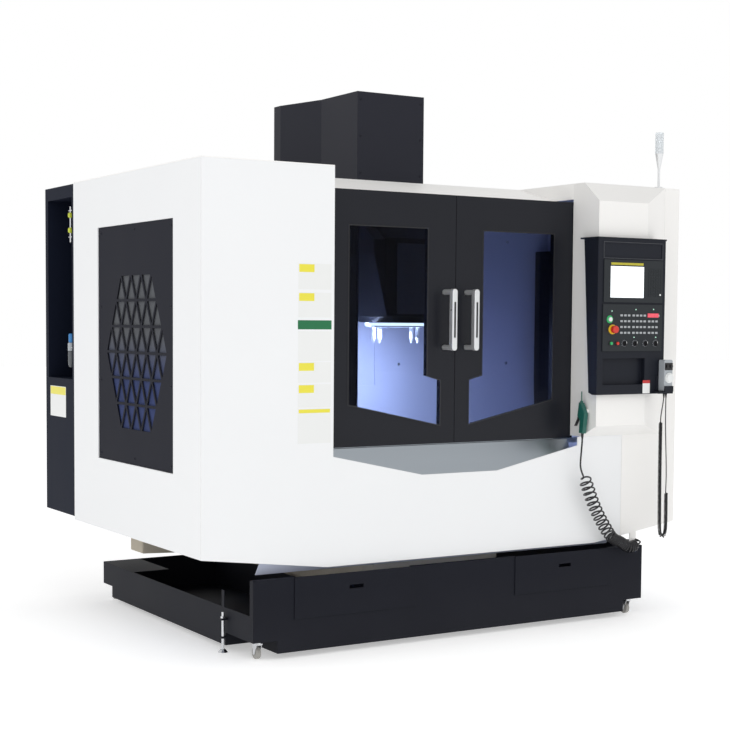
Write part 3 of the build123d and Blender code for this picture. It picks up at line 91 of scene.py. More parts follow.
camera_data = bpy.data.cameras.new("eye_level_camera")
camera_data.sensor_width = 36
camera_data.lens = lens_pixels / PICTURE_WIDTH * camera_data.sensor_width
camera_data.shift_y = axis_below_middle / PICTURE_WIDTH
camera = bpy.data.objects.new("eye_level_camera", camera_data)
scene.collection.objects.link(camera)
turned = Matrix((right, up, -ahead)).transposed().to_4x4()
camera.matrix_world = Matrix.Translation(LENS_PLACE) @ turned
scene.camera = camera
print("lens", round(camera_data.lens, 1), "mm")

# %% [markdown]
# ## Cords first
# A cord is a fixed length of something that bends, so its line comes before its look. Its route
# is a handful of points, and a NURBS of order 3 draws one smooth line through their
# neighbourhood. `order_u` has to be set after the points are there, or Blender quietly keeps
# straight runs.

# %% A smooth line from a few points
def smooth_line(name, points):
    line = bpy.data.curves.new(name, "CURVE")
    line.dimensions = "3D"
    spline = line.splines.new("NURBS")
    spline.points.add(len(points) - 1)
    for control, place in zip(spline.points, points):
        control.co = (*place, 1)
    spline.order_u = 3
    spline.use_endpoint_u = True
    line.resolution_u = 8
    return line


def points_along(line):
    carrier = bpy.data.objects.new("line_to_read", line)
    scene.collection.objects.link(carrier)
    seen = bpy.data.meshes.new_from_object(carrier)
    places = [vertex.co.copy() for vertex in seen.vertices]
    bpy.data.objects.remove(carrier)
    bpy.data.meshes.remove(seen)
    return places


def length_of(places):
    return sum((b - a).length for a, b in zip(places, places[1:]))


# %% [markdown]
# ## Winding a helix
# The air hose and the hand pendant's lead are both wound on a former when they are made. We walk
# along the smooth centre line with a frame that never twists by itself, and turn a radius round
# it. Where the coil bends, the turns crowd on the inside, so the walk takes a longer step there
# and they only just clear each other, as real turns do.

# %% Wind points round a line
TURN_POINTS = 14
GLANCE, BEND_STEP = 0.006, 0.01
CLOSEST, TIGHTEST = 1.12, 0.35


def wound(centre, radius, thickness, pitch):
    """Points of a helix round centre; pitch(share) gives the loose spacing along it."""
    total = length_of(centre)
    marks = [0.0]
    for a, b in zip(centre, centre[1:]):
        marks.append(marks[-1] + (b - a).length)

    def place(distance):
        for index in range(len(marks) - 1):
            if distance <= marks[index + 1] or index == len(marks) - 2:
                step = marks[index + 1] - marks[index]
                share = (distance - marks[index]) / step if step else 0
                return centre[index].lerp(centre[index + 1], share)

    def heading(distance):
        near, far = max(distance - GLANCE, 0), min(distance + GLANCE, total)
        return (place(far) - place(near)).normalized()

    side = heading(0).orthogonal().normalized()
    distance, angle, points = 0.0, 0.0, []
    while distance < total:
        along = heading(distance)
        side = (side - along * side.dot(along)).normalized()
        other = along.cross(side)
        share = distance / total
        # the radius grows over the first half turn and shrinks over the last
        ramp = min(1.0, angle / math.pi, (total - distance) / (0.5 * pitch(share)) + 0.12)
        reach = radius(share) * ramp
        points.append(place(distance) + (side * math.cos(angle) + other * math.sin(angle)) * reach)
        bend = along.angle(heading(min(distance + BEND_STEP, total))) / BEND_STEP
        crowding = max(TIGHTEST, 1 - radius(share) * bend)
        distance += max(pitch(share), CLOSEST * thickness / crowding) / TURN_POINTS
        angle += 2 * math.pi / TURN_POINTS
    return points


# %% [markdown]
# ## The spiral air hose
# The gun hangs from the operator box, and its hose drops straight, swings round and then winds
# loosely down to the tank, where the turns bunch up and hang over the tank's front edge. The end
# goes over the tank to a nipple under the right-hand sheet. The whole hose is one line: a lead,
# the turns and a tail.

# %% Lay the air hose
HOSE = 0.009
hose_lead = [at(*point) for point in (
    (727, -45, 984), (727, -45, 944), (716, -53, 897), (705, -61, 854), (697, -68, 816),
    (704, -72, 786), (718, -72, 760))]
hose_core = [at(*point) for point in (
    (718, -72, 760), (742, -72, 715.4), (762, -73, 664), (790, -74, 604), (822, -76, 548),
    (858, -78, 494), (894, -78, 448), (930, -78, 420), (966, -78, 411), (1000, -78, 384),
    (1034, -78, 374), (1072, -78, 384))]
hose_tail = [at(*point) for point in (
    (1072, -78, 384), (1094, -78, 389.8), (1114, -70, 396), (1124, -50, 400), (1124, -20, 400))]


def hose_radius(share):
    return 0.0315 if share < 0.58 else 0.0315 - 0.004 * min(1, (share - 0.58) / 0.1)


def hose_pitch(share):
    return 0.029 if share < 0.6 else 0.029 - 0.0185 * min(1, (share - 0.6) / 0.08)


core_line = smooth_line("hose_core", hose_core)
hose_turns = wound(points_along(core_line), hose_radius, HOSE, hose_pitch)
hose_route = hose_lead[:-1] + hose_turns + hose_tail[1:]
hose_line = smooth_line("air_hose", hose_route)
hose_length = length_of(points_along(hose_line))
hose_line.bevel_depth = HOSE / 2
hose_line.bevel_resolution = 2
hose_line.use_fill_caps = True
hose_line.resolution_u = 3
air_hose = bpy.data.objects.new("air_hose", hose_line)
scene.collection.objects.link(air_hose)
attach(air_hose, "machine")
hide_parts("air_hose_tube", "air_hose_coil")
print("air hose", round(hose_length, 2), "m in", round(len(hose_turns) / TURN_POINTS), "turns")

# %% [markdown]
# ## The pendant's lead
# The hand pendant hangs on a thin lead that is wound tight for most of its way, like an old
# telephone's. It drops, makes a narrow loop near the tank and comes back up beside itself. The
# same winding does it, with a smaller former and turns that touch.

# %% Lay the pendant lead
LEAD = 0.0058
lead_down = [at(*point) for point in (
    (1158, -178, 1187), (1158, -178, 1162), (1159, -170, 1126), (1163, -158, 1092),
    (1165, -150, 1060), (1165, -150, 1034))]
curl_core = [at(*point) for point in (
    (1165, -150, 1034), (1165, -150, 900), (1168, -147, 760), (1171, -146, 620),
    (1173, -146, 500), (1176, -146, 448), (1196, -146, 424), (1216, -146, 448),
    (1216, -147, 520), (1214, -148, 612), (1214, -148, 660))]
lead_up = [at(*point) for point in (
    (1214, -148, 660), (1214, -148, 744), (1210, -149, 834), (1203, -151, 924),
    (1195, -155, 1014), (1187, -162, 1096), (1184, -166, 1148), (1184, -166, 1187))]

curl_line = smooth_line("curl_core", curl_core)
curl_turns = wound(points_along(curl_line), lambda share: 0.0076, LEAD, lambda share: 0.0066)
lead_route = lead_down[:-1] + curl_turns + lead_up[1:]
lead_line = smooth_line("pendant_lead", lead_route)
lead_length = length_of(points_along(lead_line))
lead_line.bevel_depth = LEAD / 2
lead_line.bevel_resolution = 1
lead_line.use_fill_caps = True
lead_line.resolution_u = 2
pendant_lead = bpy.data.objects.new("pendant_lead", lead_line)
scene.collection.objects.link(pendant_lead)
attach(pendant_lead, "machine")
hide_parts("pendant_cord_leads", "pendant_curly_cord")
print("pendant lead", round(lead_length, 2), "m in", round(len(curl_turns) / TURN_POINTS), "turns")

# %% [markdown]
# ## Short recipes for materials
# A finish is a chain of small nodes, much like a recipe, and written out in full it fills a page.
# Two helpers keep it readable: `fill` sets a node's inputs, and `put` adds a node and fills it.
# Whatever goes into a node is a number, a colour or another node's output.

# %% Start a material and add nodes
def started(name):
    material = bpy.data.materials.new(name)
    material.use_nodes = True
    return material


def shader_of(material):
    return material.node_tree.nodes["Principled BSDF"]


def fill(owner, node, inputs):
    for socket, value in inputs.items():
        if isinstance(value, bpy.types.NodeSocket):
            owner.node_tree.links.new(value, node.inputs[socket])
        else:
            node.inputs[socket].default_value = value


def put(owner, kind, inputs, **settings):
    """Add one node to a material or a world, and give back its outputs."""
    node = owner.node_tree.nodes.new("ShaderNode" + kind)
    for setting, value in settings.items():
        setattr(node, setting, value)
    fill(owner, node, inputs)
    return node.outputs


# %% [markdown]
# ## Sums, tests and stencils
# A colour that changes from place to place needs a test on the point's X, Y or Z, and a test is a
# Math node that gives 1 or 0. `paint_over` lays a second colour over the first where the test
# says 1, as a painter does with a stencil.

# %% Work out where a colour goes
def worked_out(owner, operation, *terms):
    return put(owner, "Math", dict(enumerate(terms)), operation=operation)["Value"]


def place_on(material):
    """The X, Y and Z of a point on the machine, as outputs."""
    return put(material, "SeparateXYZ", {"Vector": put(material, "TexCoord", {})["Object"]})


def all_of(material, first, *others):
    for other in others:
        first = worked_out(material, "MULTIPLY", first, other)
    return first


def mixed(material, share, none, full):
    return put(material, "Mix", {"Factor": share, "A": none, "B": full}, data_type="RGBA")["Result"]


def paint_over(material, colour, where):
    """Lay colour over the present one wherever `where` is 1."""
    shader = shader_of(material)
    under = shader.inputs["Base Color"].links[0].from_socket
    fill(material, shader, {"Base Color": mixed(material, where, under, (*colour, 1))})


# %% [markdown]
# ## Dust and grain
# Dust settles on what stands near the floor, so it fades out with height and lies in patches. The
# skin of a coat has fine dimples, and the press brake left the corners round where the model's are
# sharp, so the Bevel node turns the light at them by a millimetre or two.

# %% Dust that thins out upwards, and a dimpled skin
DUST = (0.30, 0.29, 0.27, 1)


def dusted(material, clean, cloud, dust, dust_top):
    low_down = put(material, "MapRange", {"Value": place_on(material)["Z"], "From Max": dust_top,
                                          "To Min": dust, "To Max": 0.0})["Result"]
    return mixed(material, worked_out(material, "MULTIPLY", low_down, cloud), clean, DUST)


def dimpled(material, spread, grain, grain_size, corner):
    pits = put(material, "TexNoise", {"Vector": spread, "Scale": grain_size, "Detail": 2})["Fac"]
    skin = {"Height": pits, "Distance": grain, "Strength": 0.6}
    if corner:
        skin["Normal"] = put(material, "Bevel", {"Radius": corner}, samples=4)["Normal"]
    return put(material, "Bump", skin)["Normal"]


# %% [markdown]
# ## Sprayed sheet metal
# Most of what we see is powder coat, with tiny changes of shade from the spraying. One cloudy
# noise drives both the shade and the gloss, so a paler spot is also a little duller. All patterns
# read Object coordinates, which sit still on every piece because each piece's own origin is the
# machine's.

# %% A sprayed finish
def coated(name, colour, rough, metallic=0.0, coat=0.0, shade=0.05, shade_size=2.5,
           grain=0.00012, grain_size=700, corner=0.002, rough_change=0.06, stretch=(1, 1, 1),
           dust=0.0, dust_top=0.4, shine=0.5):
    material = started(name)
    place = put(material, "TexCoord", {})["Object"]
    spread = put(material, "Mapping", {"Vector": place, "Scale": stretch})["Vector"]
    cloud = put(material, "TexNoise", {"Vector": spread, "Scale": shade_size, "Detail": 5})["Fac"]
    darker = (*[channel * (1 - shade) for channel in colour], 1)
    lighter = (*[min(1, channel * (1 + shade)) for channel in colour], 1)
    tone = mixed(material, cloud, darker, lighter)
    if dust:
        tone = dusted(material, tone, cloud, dust, dust_top)
    sheen = put(material, "MapRange", {"Value": cloud, "To Min": rough - rough_change,
                                       "To Max": rough + rough_change})["Result"]
    fill(material, shader_of(material), {
        "Base Color": tone, "Roughness": sheen, "Metallic": metallic,
        "Normal": dimpled(material, spread, grain, grain_size, corner),
        "Specular IOR Level": shine, "Coat Weight": coat, "Coat Roughness": 0.12})
    return material


# %% [markdown]
# ## Light and glass
# The screen, the lamp ring in the work space and the small signal lights give off light, and one
# more glowing ring paints the lamp's reflection on its housing. Their colour goes on the emission
# socket, and a faint unevenness keeps them from looking like holes cut in the picture. Glass is a
# coat that lets light through, with hardly any grain.

# %% Lit and clear finishes
def glowing(name, colour, strength, unevenness=0.12, size=18):
    material = started(name)
    place = put(material, "TexCoord", {})["Object"]
    cloud = put(material, "TexNoise", {"Vector": place, "Scale": size})["Fac"]
    level = put(material, "MapRange", {"Value": cloud, "To Min": strength * (1 - unevenness),
                                       "To Max": strength * (1 + unevenness)})["Result"]
    fill(material, shader_of(material), {
        "Base Color": (*[0.6 * channel for channel in colour], 1), "Roughness": 0.25,
        "Emission Color": (*colour, 1), "Emission Strength": level})
    return material


def clear(name, colour, rough=0.02, body=0.0, index=1.45, shine=0.5):
    material = coated(name, colour, 0.03 + rough, shade=0.02, grain=0.000004, grain_size=9, corner=0,
                      rough_change=rough, shine=shine)
    fill(material, shader_of(material), {"Transmission Weight": 1 - body, "IOR": index})
    return material


# %% [markdown]
# ## The finishes of this machine
# Each line is one finish. The three whites are one enclosure paint: the warmer white and the brighter
# roof white are painted light, lit copies of the plain white for faces that the light falls on more.
# The dark coats lean towards blue, and the door frames are glossier than the rest because they are
# handled and wiped.

# %% Mix the finishes
white_coat = coated("white_coat", (0.86, 0.87, 0.88), 0.42, shade=0.012, grain=0.00006)
# painted light: a warmer copy of the plain white, for the front faces that the lamps reach
warm_lit_white_coat = coated("warm_lit_white_coat", (0.90, 0.89, 0.87), 0.42, shade=0.012, grain=0.00006)
# painted light: a brighter copy of the plain white, for the roof, which faces up into the light
roof_lit_white_coat = coated("roof_lit_white_coat", (0.97, 0.96, 0.94), 0.42, shade=0.012, grain=0.00006)
dark_coat = coated("dark_coat", (0.016, 0.017, 0.026), 0.46, shade=0.10, grain=0.00006, shine=0.2)
vent_coat = coated("vent_coat", (0.014, 0.015, 0.023), 0.62, shade=0.10, grain=0.00006, shine=0.1)
cabinet_coat = coated("cabinet_coat", (0.007, 0.010, 0.022), 0.62, shade=0.12, grain=0.00006,
                      shine=0.1)
door_coat = coated("door_coat", (0.011, 0.012, 0.017), 0.34, shade=0.10, grain=0.00004, shine=0.22)
tank_coat = coated("tank_coat", (0.009, 0.010, 0.016), 0.55, shade=0.14, dust=0.03, dust_top=0.3,
                   grain=0.00006, shine=0.12)
head_coat = coated("head_coat", (0.008, 0.009, 0.014), 0.40, shade=0.15, grain=0.00005, shine=0.25)
console_coat = coated("console_coat", (0.010, 0.012, 0.019), 0.45, shade=0.10, grain=0.00006, shine=0.2)
film = coated("film", (0.020, 0.024, 0.028), 0.38, shade=0.06, grain=0.00004, shine=0.25)
brushed = coated("brushed", (0.42, 0.46, 0.50), 0.30, metallic=1.0, shade=0.08, shade_size=5,
                 grain=0.00006, grain_size=260, stretch=(0.04, 1, 1))
guard_steel = coated("guard_steel", (0.56, 0.60, 0.74), 0.38, shade=0.08, shade_size=4)
cast_coat = coated("cast_coat", (0.50, 0.44, 0.34), 0.55, shade=0.10, shade_size=8, grain=0.0008,
                   grain_size=180, corner=0.004, dust=0.4, dust_top=0.6)
ground_iron = coated("ground_iron", (0.36, 0.36, 0.37), 0.28, metallic=1.0, shade=0.12,
                     shade_size=14, grain=0.00005, grain_size=500, stretch=(1, 0.05, 1))
bright_steel = coated("bright_steel", (0.66, 0.67, 0.69), 0.20, metallic=1.0, shade=0.06,
                      shade_size=30, grain=0.00003, corner=0.001)
handle_metal = coated("handle_metal", (0.78, 0.79, 0.80), 0.30, metallic=0.65, shade=0.05,
                      shade_size=30, grain=0.00004, corner=0.002)
black_plastic = coated("black_plastic", (0.010, 0.010, 0.012), 0.34, shade=0.15, shade_size=40,
                       grain=0.0001, corner=0.001)
pale_plastic = coated("pale_plastic", (0.40, 0.43, 0.46), 0.30, shade=0.04, shade_size=40,
                      grain=0.00006, corner=0.0015)
dial_plastic = coated("dial_plastic", (0.80, 0.82, 0.82), 0.26, shade=0.04, shade_size=40,
                      corner=0.001)
red_plastic = coated("red_plastic", (0.62, 0.035, 0.022), 0.26, shade=0.10, shade_size=60,
                     corner=0.001)
green_plastic = coated("green_plastic", (0.03, 0.42, 0.13), 0.26, shade=0.10, shade_size=60,
                       corner=0.001)
yellow_plastic = coated("yellow_plastic", (0.85, 0.52, 0.02), 0.30, shade=0.06, shade_size=60,
                        corner=0.001)
gun_plastic = coated("gun_plastic", (0.012, 0.11, 0.085), 0.30, shade=0.15, shade_size=40,
                     corner=0.001)
hose_plastic = coated("hose_plastic", (0.016, 0.016, 0.019), 0.24, shade=0.15, shade_size=60,
                      grain=0.00004, corner=0)
lead_rubber = coated("lead_rubber", (0.010, 0.010, 0.012), 0.50, shade=0.2, shade_size=80,
                     grain=0.0001, corner=0)
wheel_plastic = coated("wheel_plastic", (0.35, 0.34, 0.32), 0.45, shade=0.12, shade_size=60,
                       dust=0.5, dust_top=0.06)
lamp_lens = clear("lamp_lens", (0.90, 0.94, 0.97), rough=0.05, body=0.45)
safety_glass = clear("safety_glass", (0.40, 0.43, 0.54), rough=0.0, index=1.12, shine=0.3)
screen_glow = glowing("screen_glow", (0.93, 0.97, 1.0), 0.95, unevenness=0.04)
lamp_glow = glowing("lamp_glow", (0.62, 0.76, 1.0), 9.0, unevenness=0.1)
# painted reflection: the lamp's light on the housing's rim, made to glow though it is no lamp
rim_reflection_glow = glowing("rim_reflection_glow", (0.62, 0.76, 1.0), 3.2, unevenness=0.1)
print(len(bpy.data.materials), "finishes")

# %% [markdown]
# ## Giving each piece its finish
# A piece of the model keeps its form and only gets a material. The list says which finish each
# one has, with painted light in the two lit copies of the white, so a repaint is one line.

# %% Dress the model's own pieces
finishes = {
    white_coat: ("front_panel", "left_side_panel", "right_side_panel", "rear_wall"),
    warm_lit_white_coat: ("front_right_panel", "operator_box"),
    roof_lit_white_coat: ("roof_panel",),
    dark_coat: ("column_cover",),
    vent_coat: ("vent_cover",),
    cabinet_coat: ("electrical_cabinet", "cabinet_door"),
    head_coat: ("spindle_head",),
    door_coat: ("left_door_frame", "right_door_frame"),
    tank_coat: ("coolant_tank", "left_chip_drawer", "right_chip_drawer"),
    console_coat: ("console_housing",),
    film: ("console_faceplates",),
    brushed: ("sill_tray",),
    guard_steel: ("inner_rear_guard", "chip_pan", "head_way_cover"),
    cast_coat: ("bed_casting", "column_casting", "saddle"),
    ground_iron: ("table", "tool_magazine"),
    bright_steel: ("spindle", "tank_supports", "levelling_feet"),
    handle_metal: ("left_handle", "right_handle", "ring_lamp", "signal_pole"),
    black_plastic: ("rotary_knob_1", "rotary_knob_2", "rotary_knob_3", "rotary_knob_4",
                    "gun_trigger"),
    pale_plastic: ("pendant_body", "air_preparation_unit"),
    dial_plastic: ("handwheel_dial", "power_button"),
    red_plastic: ("emergency_stop", "stop_button"),
    green_plastic: ("start_button",),
    gun_plastic: ("air_gun_body",),
    wheel_plastic: ("caster_wheel_front_left", "caster_wheel_front_right",
                    "caster_wheel_rear_left", "caster_wheel_rear_right"),
    lamp_lens: ("signal_lens",),
    safety_glass: ("left_window", "right_window"),
    screen_glow: ("display_screen",),
}
for finish, names in finishes.items():
    for name in names:
        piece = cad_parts[name]
        piece.data.materials.clear()
        piece.data.materials.append(finish)
air_hose.data.materials.append(hose_plastic)
pendant_lead.data.materials.append(lead_rubber)
print(sum(len(names) for names in finishes.values()), "pieces dressed")

# %% [markdown]
# ## A small workbench
# New pieces are shaped on an open bmesh, so that several forms can go into one piece. When it is
# done, `as_piece` merges the points that touch, turns every face outwards, gives it a finish and
# says which moving part of the machine it rides on.

# %% Finish a piece
TOUCHING = 0.00001
FORWARD, UP, DOWN, LEFTWARD = (0, -1, 0), (0, 0, 1), (0, 0, -1), (-1, 0, 0)


def as_piece(name, work, body, finish):
    bmesh.ops.remove_doubles(work, verts=work.verts, dist=TOUCHING)
    bmesh.ops.recalc_face_normals(work, faces=work.faces)
    mesh = bpy.data.meshes.new(name)
    work.to_mesh(mesh)
    work.free()
    mesh.materials.append(finish)
    piece = bpy.data.objects.new(name, mesh)
    scene.collection.objects.link(piece)
    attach(piece, body)
    print(name, "has", len(mesh.polygons), "faces")


# %% [markdown]
# ## Turning
# Knobs, collars, screws and fittings are round, and in the workshop they come off a turning
# machine. Here half a section is drawn as a chain of edges and spun a full turn round its axis.

# %% Spin a profile
def turn_profile(work, profile, origin, axis, steps):
    """Spin (radius, height) pairs, in millimetres, round axis through origin."""
    axis = Vector(axis).normalized()
    outward = axis.orthogonal().normalized()
    rim = [work.verts.new(origin + outward * (radius / 1000) + axis * (height / 1000))
           for radius, height in profile]
    edges = [work.edges.new(pair) for pair in zip(rim, rim[1:])]
    bmesh.ops.spin(work, geom=rim + edges, cent=origin, axis=axis, angle=math.tau, steps=steps,
                   use_merge=True, use_normal_flip=False, use_duplicate=False)
    bmesh.ops.remove_doubles(work, verts=work.verts, dist=TOUCHING)


# %% [markdown]
# ## Cutting
# A plate is a flat outline pushed to its thickness with its edges broken, since a sharp edge never
# catches the light. A ring is what is left of a plate when its middle is taken out. A new face has
# no direction until `normal_update`, and without one the inset doesn't move.

# %% Push an outline
def cut_plate(work, corners, push, bevel=0.0):
    """Push a flat outline of points along push, then break its edges by bevel millimetres."""
    rim = [work.verts.new(corner) for corner in corners]
    face = work.faces.new(rim)
    grown = bmesh.ops.extrude_face_region(work, geom=[face])
    moved = [item for item in grown["geom"] if isinstance(item, bmesh.types.BMVert)]
    bmesh.ops.translate(work, verts=moved, vec=push)
    if bevel:
        touched = set(rim) | set(moved)
        edges = [edge for edge in work.edges if edge.verts[0] in touched and edge.verts[1] in touched]
        bmesh.ops.bevel(work, geom=edges, offset=bevel / 1000, offset_type="OFFSET", segments=2,
                        profile=0.5, affect="EDGES", material=-1, clamp_overlap=True)


def cut_ring(work, corners, width, push):
    """Keep a rim of width millimetres inside a flat outline, and push it along push."""
    face = work.faces.new([work.verts.new(corner) for corner in corners])
    face.normal_update()
    bmesh.ops.inset_region(work, faces=[face], thickness=width / 1000, depth=0,
                           use_even_offset=True, use_boundary=True)
    bmesh.ops.delete(work, geom=[face], context="FACES_ONLY")
    grown = bmesh.ops.extrude_face_region(work, geom=list(work.faces), use_keep_orig=True)
    moved = [item for item in grown["geom"] if isinstance(item, bmesh.types.BMVert)]
    bmesh.ops.translate(work, verts=moved, vec=push)


# %% [markdown]
# ## Pieces of a single form
# Most pieces are one turning or one plate, so two helpers make each in a single call. A plate on
# the front is told by its left, right, low and high edges and its distance from the front sheet,
# and it grows thicker towards the operator.

# %% One turning, one plate, and outlines on the front
def turned(name, profile, origin, axis, steps, body, finish, slot):
    work = bmesh.new()
    turn_profile(work, profile, origin, axis, steps)
    as_piece(name, work, body, finish)


def plate(name, corners, push, bevel, body, finish):
    work = bmesh.new()
    cut_plate(work, corners, push, bevel)
    as_piece(name, work, body, finish)


def front_outline(left, right, low, high, depth):
    return [at(left, depth, low), at(right, depth, low), at(right, depth, high), at(left, depth, high)]


def to_the_front(millimetres):
    return Vector((0, -millimetres / 1000, 0))


# %% [markdown]
# ## The lamp round the spindle
# Light in the work space comes from a ring set into the housing under the head. The model has the
# housing. The bright face below it is a turned ring that glows as the lamp. A second glowing ring
# round the top of the housing's outside is a painted reflection of the lamp's light on the
# housing's rim. They ride on the head, so they come down with the tool.

# %% Fit the painted rim reflection and the lamp face
lamp_low, lamp_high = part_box("ring_lamp")
lamp_axis = Vector(((lamp_low[0] + lamp_high[0]) / 2, (lamp_low[1] + lamp_high[1]) / 2,
                    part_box("spindle_head")[0][2]))
rim_reflection_profile = ((152, -19), (161, -17), (163.5, -10), (161, -3), (152, -1), (152, -19))
glass_profile = ((92, -23), (92, -23.6), (104, -24.6), (136, -24.6), (148, -23.6), (148, -23), (92, -23))
# a glowing ring that paints the lamp's reflection on the housing's rim; it is no lamp
turned("lamp_outer_tube", rim_reflection_profile, lamp_axis, UP, 64, "head_axis", rim_reflection_glow, "lamp_plastic")
turned("lamp_face", glass_profile, lamp_axis, UP, 64, "head_axis", lamp_glow, "lamp_plastic")

# %% [markdown]
# ## The console's face
# Real keys are a printed film over switches. The model has the raised keys, so the film's colour
# can be chosen by place alone: whatever stands proud of the plate is a key, and a band across the
# middle of each row takes the pale key colour. One material does what dozens of pieces would.

# %% Colour the keys by their place
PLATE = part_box("display_screen")[0][1]
LEAST_RISE = 0.0009
TOP_OF_KEYS, LEFT_OF_KEYS = 1.65, 0.862
FIRST_ROW, ROW_PITCH = 1.501, 0.0296
HALF_BAND = 0.17
key_film = film.copy()
key_film.name = "key_film"
axes = place_on(key_film)
raised = worked_out(key_film, "LESS_THAN", axes["Y"], PLATE - LEAST_RISE)
below_screen = worked_out(key_film, "LESS_THAN", axes["Z"], TOP_OF_KEYS)
past_buttons = worked_out(key_film, "GREATER_THAN", axes["X"], LEFT_OF_KEYS)
rows_up = worked_out(key_film, "MULTIPLY_ADD", axes["Z"], 1 / ROW_PITCH, 0.5 - FIRST_ROW / ROW_PITCH)
in_row = worked_out(key_film, "FRACT", rows_up)
mid_key = worked_out(key_film, "COMPARE", in_row, 0.5, HALF_BAND)
paint_over(key_film, (0.40, 0.42, 0.44), all_of(key_film, below_screen, past_buttons, raised, mid_key))
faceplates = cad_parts["console_faceplates"]
faceplates.data.materials.clear()
faceplates.data.materials.append(key_film)
print("key rows stand", round(ROW_PITCH * 1000, 1), "mm apart")

# %% [markdown]
# ## Collars round the buttons
# Each button sits in its own collar: yellow round the emergency stop, green round the power key,
# black round the others. A collar is a shallow turned ring that stands on the plate, a little
# higher on its rounded crown than at its rim.

# %% Fit the collars
face_y = (PLATE - FRONT) * 1000


def collar(name, x, z, inner, outer, height, finish, slot):
    profile = ((inner, 0), (inner, height), (inner + 1, height + 0.8), (outer - 1.5, height + 0.8),
               (outer, height - 0.6), (outer, 0), (inner, 0))
    turned(name, profile, at(x, face_y, z), FORWARD, 40, "machine", finish, slot)


collar("stop_collar", 815, 1518, 9.6, 24.6, 6, yellow_plastic, "grey_plastic")
collar("power_collar", 797, 1569, 11.6, 20, 4, green_plastic, "green_plastic")
collar("start_collar", 806, 1447, 8.6, 12.6, 4, black_plastic, "knob_plastic")
collar("end_collar", 848, 1447, 8.6, 12.6, 4, black_plastic, "knob_plastic")

# %% [markdown]
# ## A strip, a number display and pilot lights
# Over the screen lies a yellow strip, and beside the keys a red number display, both thin plates
# with broken edges. The pilot lights are low domes that glow faintly, all made as one piece.

# %% Fit the strip, the number display and the lights
strip_yellow = coated("strip_yellow", (0.50, 0.44, 0.03), 0.4, shade=0.15, shade_size=60, corner=0)
number_red = glowing("number_red", (0.80, 0.09, 0.13), 0.55, 0.5, 90)
pilot_light = glowing("pilot_light", (0.55, 0.95, 0.75), 0.7, 0.1)
plate("yellow_strip", front_outline(801, 1017, 1845.5, 1857.5, face_y), to_the_front(1.8), 0.5,
      "machine", strip_yellow)
plate("number_display", front_outline(1052, 1126, 1580, 1601, face_y), to_the_front(2.6), 0.6,
      "machine", number_red)
work = bmesh.new()
for x, z in ((812, 1611), (972, 1620), (1092, 1622), (1110, 1478), (962, 1478)):
    turn_profile(work, ((0, 2.2), (2.4, 1.8), (3.2, 0), (0, 0)), at(x, face_y, z), FORWARD, 16)
as_piece("pilot_lights", work, "machine", pilot_light)
turned("port_cap", ((0, 3.4), (4.5, 2.8), (5.6, 0), (0, 0)), at(1134, face_y, 1697), FORWARD, 20,
       "machine", dial_plastic, "dial_plastic")

# %% [markdown]
# ## Pointers on the rotary switches
# A rotary switch needs its pointer, or nobody can read it. It is a thin white bar let into the
# grip, and it turns with its knob. A grey ring nut holds each switch in the plate.

# %% Fit the ring nuts and the pointers
KNOB_Z = 1446
knob_places = (898, 969, 1039, 1108)
ring_finish = coated("ring_finish", (0.16, 0.17, 0.19), 0.35, shade=0.05, shade_size=40, corner=0)
for number, x in enumerate(knob_places, 1):
    collar("knob_ring_%d" % number, x, KNOB_Z, 14.2, 16.4, 1.2, ring_finish, "dial_plastic")
    plate("knob_pointer_%d" % number, front_outline(x - 1.2, x + 1.2, 1447, 1457, face_y - 17.3),
          to_the_front(0.6), 0.2, "knob_%d" % number, dial_plastic)

# %% [markdown]
# ## Dots round the switches
# The film shows a switch's positions as a ring of dots. Each is a low stud, and a sine and a
# cosine set nine of them over two thirds of a circle. All of them are one piece.

# %% Set the dots
DOT_RING = 19
work = bmesh.new()
for x in knob_places:
    for step in range(9):
        angle = math.radians(-120 + step * 30)
        spot = at(x + DOT_RING * math.sin(angle), face_y, KNOB_Z + DOT_RING * math.cos(angle))
        turn_profile(work, ((0, 0.5), (1.1, 0.4), (1.3, 0), (0, 0)), spot, FORWARD, 10)
as_piece("switch_dots", work, "machine", pale_plastic)

# %% [markdown]
# ## The hand pendant
# The pendant is a pale shell with a black band across it where its two selector switches sit,
# with a round dial below. The band is a thin plate that stands on the shell, and each selector is
# a short turned cap on it.

# %% Wrap the pendant
PENDANT_FACE = -204.5
selector_profile = ((0, 10.5), (6.5, 10.5), (8.6, 9.2), (8.9, 0), (0, 0))
work = bmesh.new()
cut_plate(work, front_outline(1137, 1191, 1308, 1346, PENDANT_FACE + 0.1), to_the_front(1.2), 0.5)
for side in (-1, 1):
    turn_profile(work, selector_profile, at(1164 + side * 13, PENDANT_FACE, 1328), FORWARD, 28)
as_piece("pendant_band", work, "machine", black_plastic)

# %% [markdown]
# ## Screws
# Thin covers are screwed on, and the rows of small heads tell the eye how big the machine is.
# A button head is a low dome with a socket in it, so the profile dips in the middle. All the
# screws of one cover become a single piece.

# %% Drive the screws
def screws(name, places, outward, radius, finish):
    shares = ((0, 0.25), (0.42, 0.25), (0.5, 0.55), (0.8, 0.42), (1, 0.08), (1, -0.2), (0, -0.2))
    profile = [(radius * across, radius * rise) for across, rise in shares]
    work = bmesh.new()
    for place in places:
        turn_profile(work, profile, place, outward, 12)
    as_piece(name, work, "machine", finish)


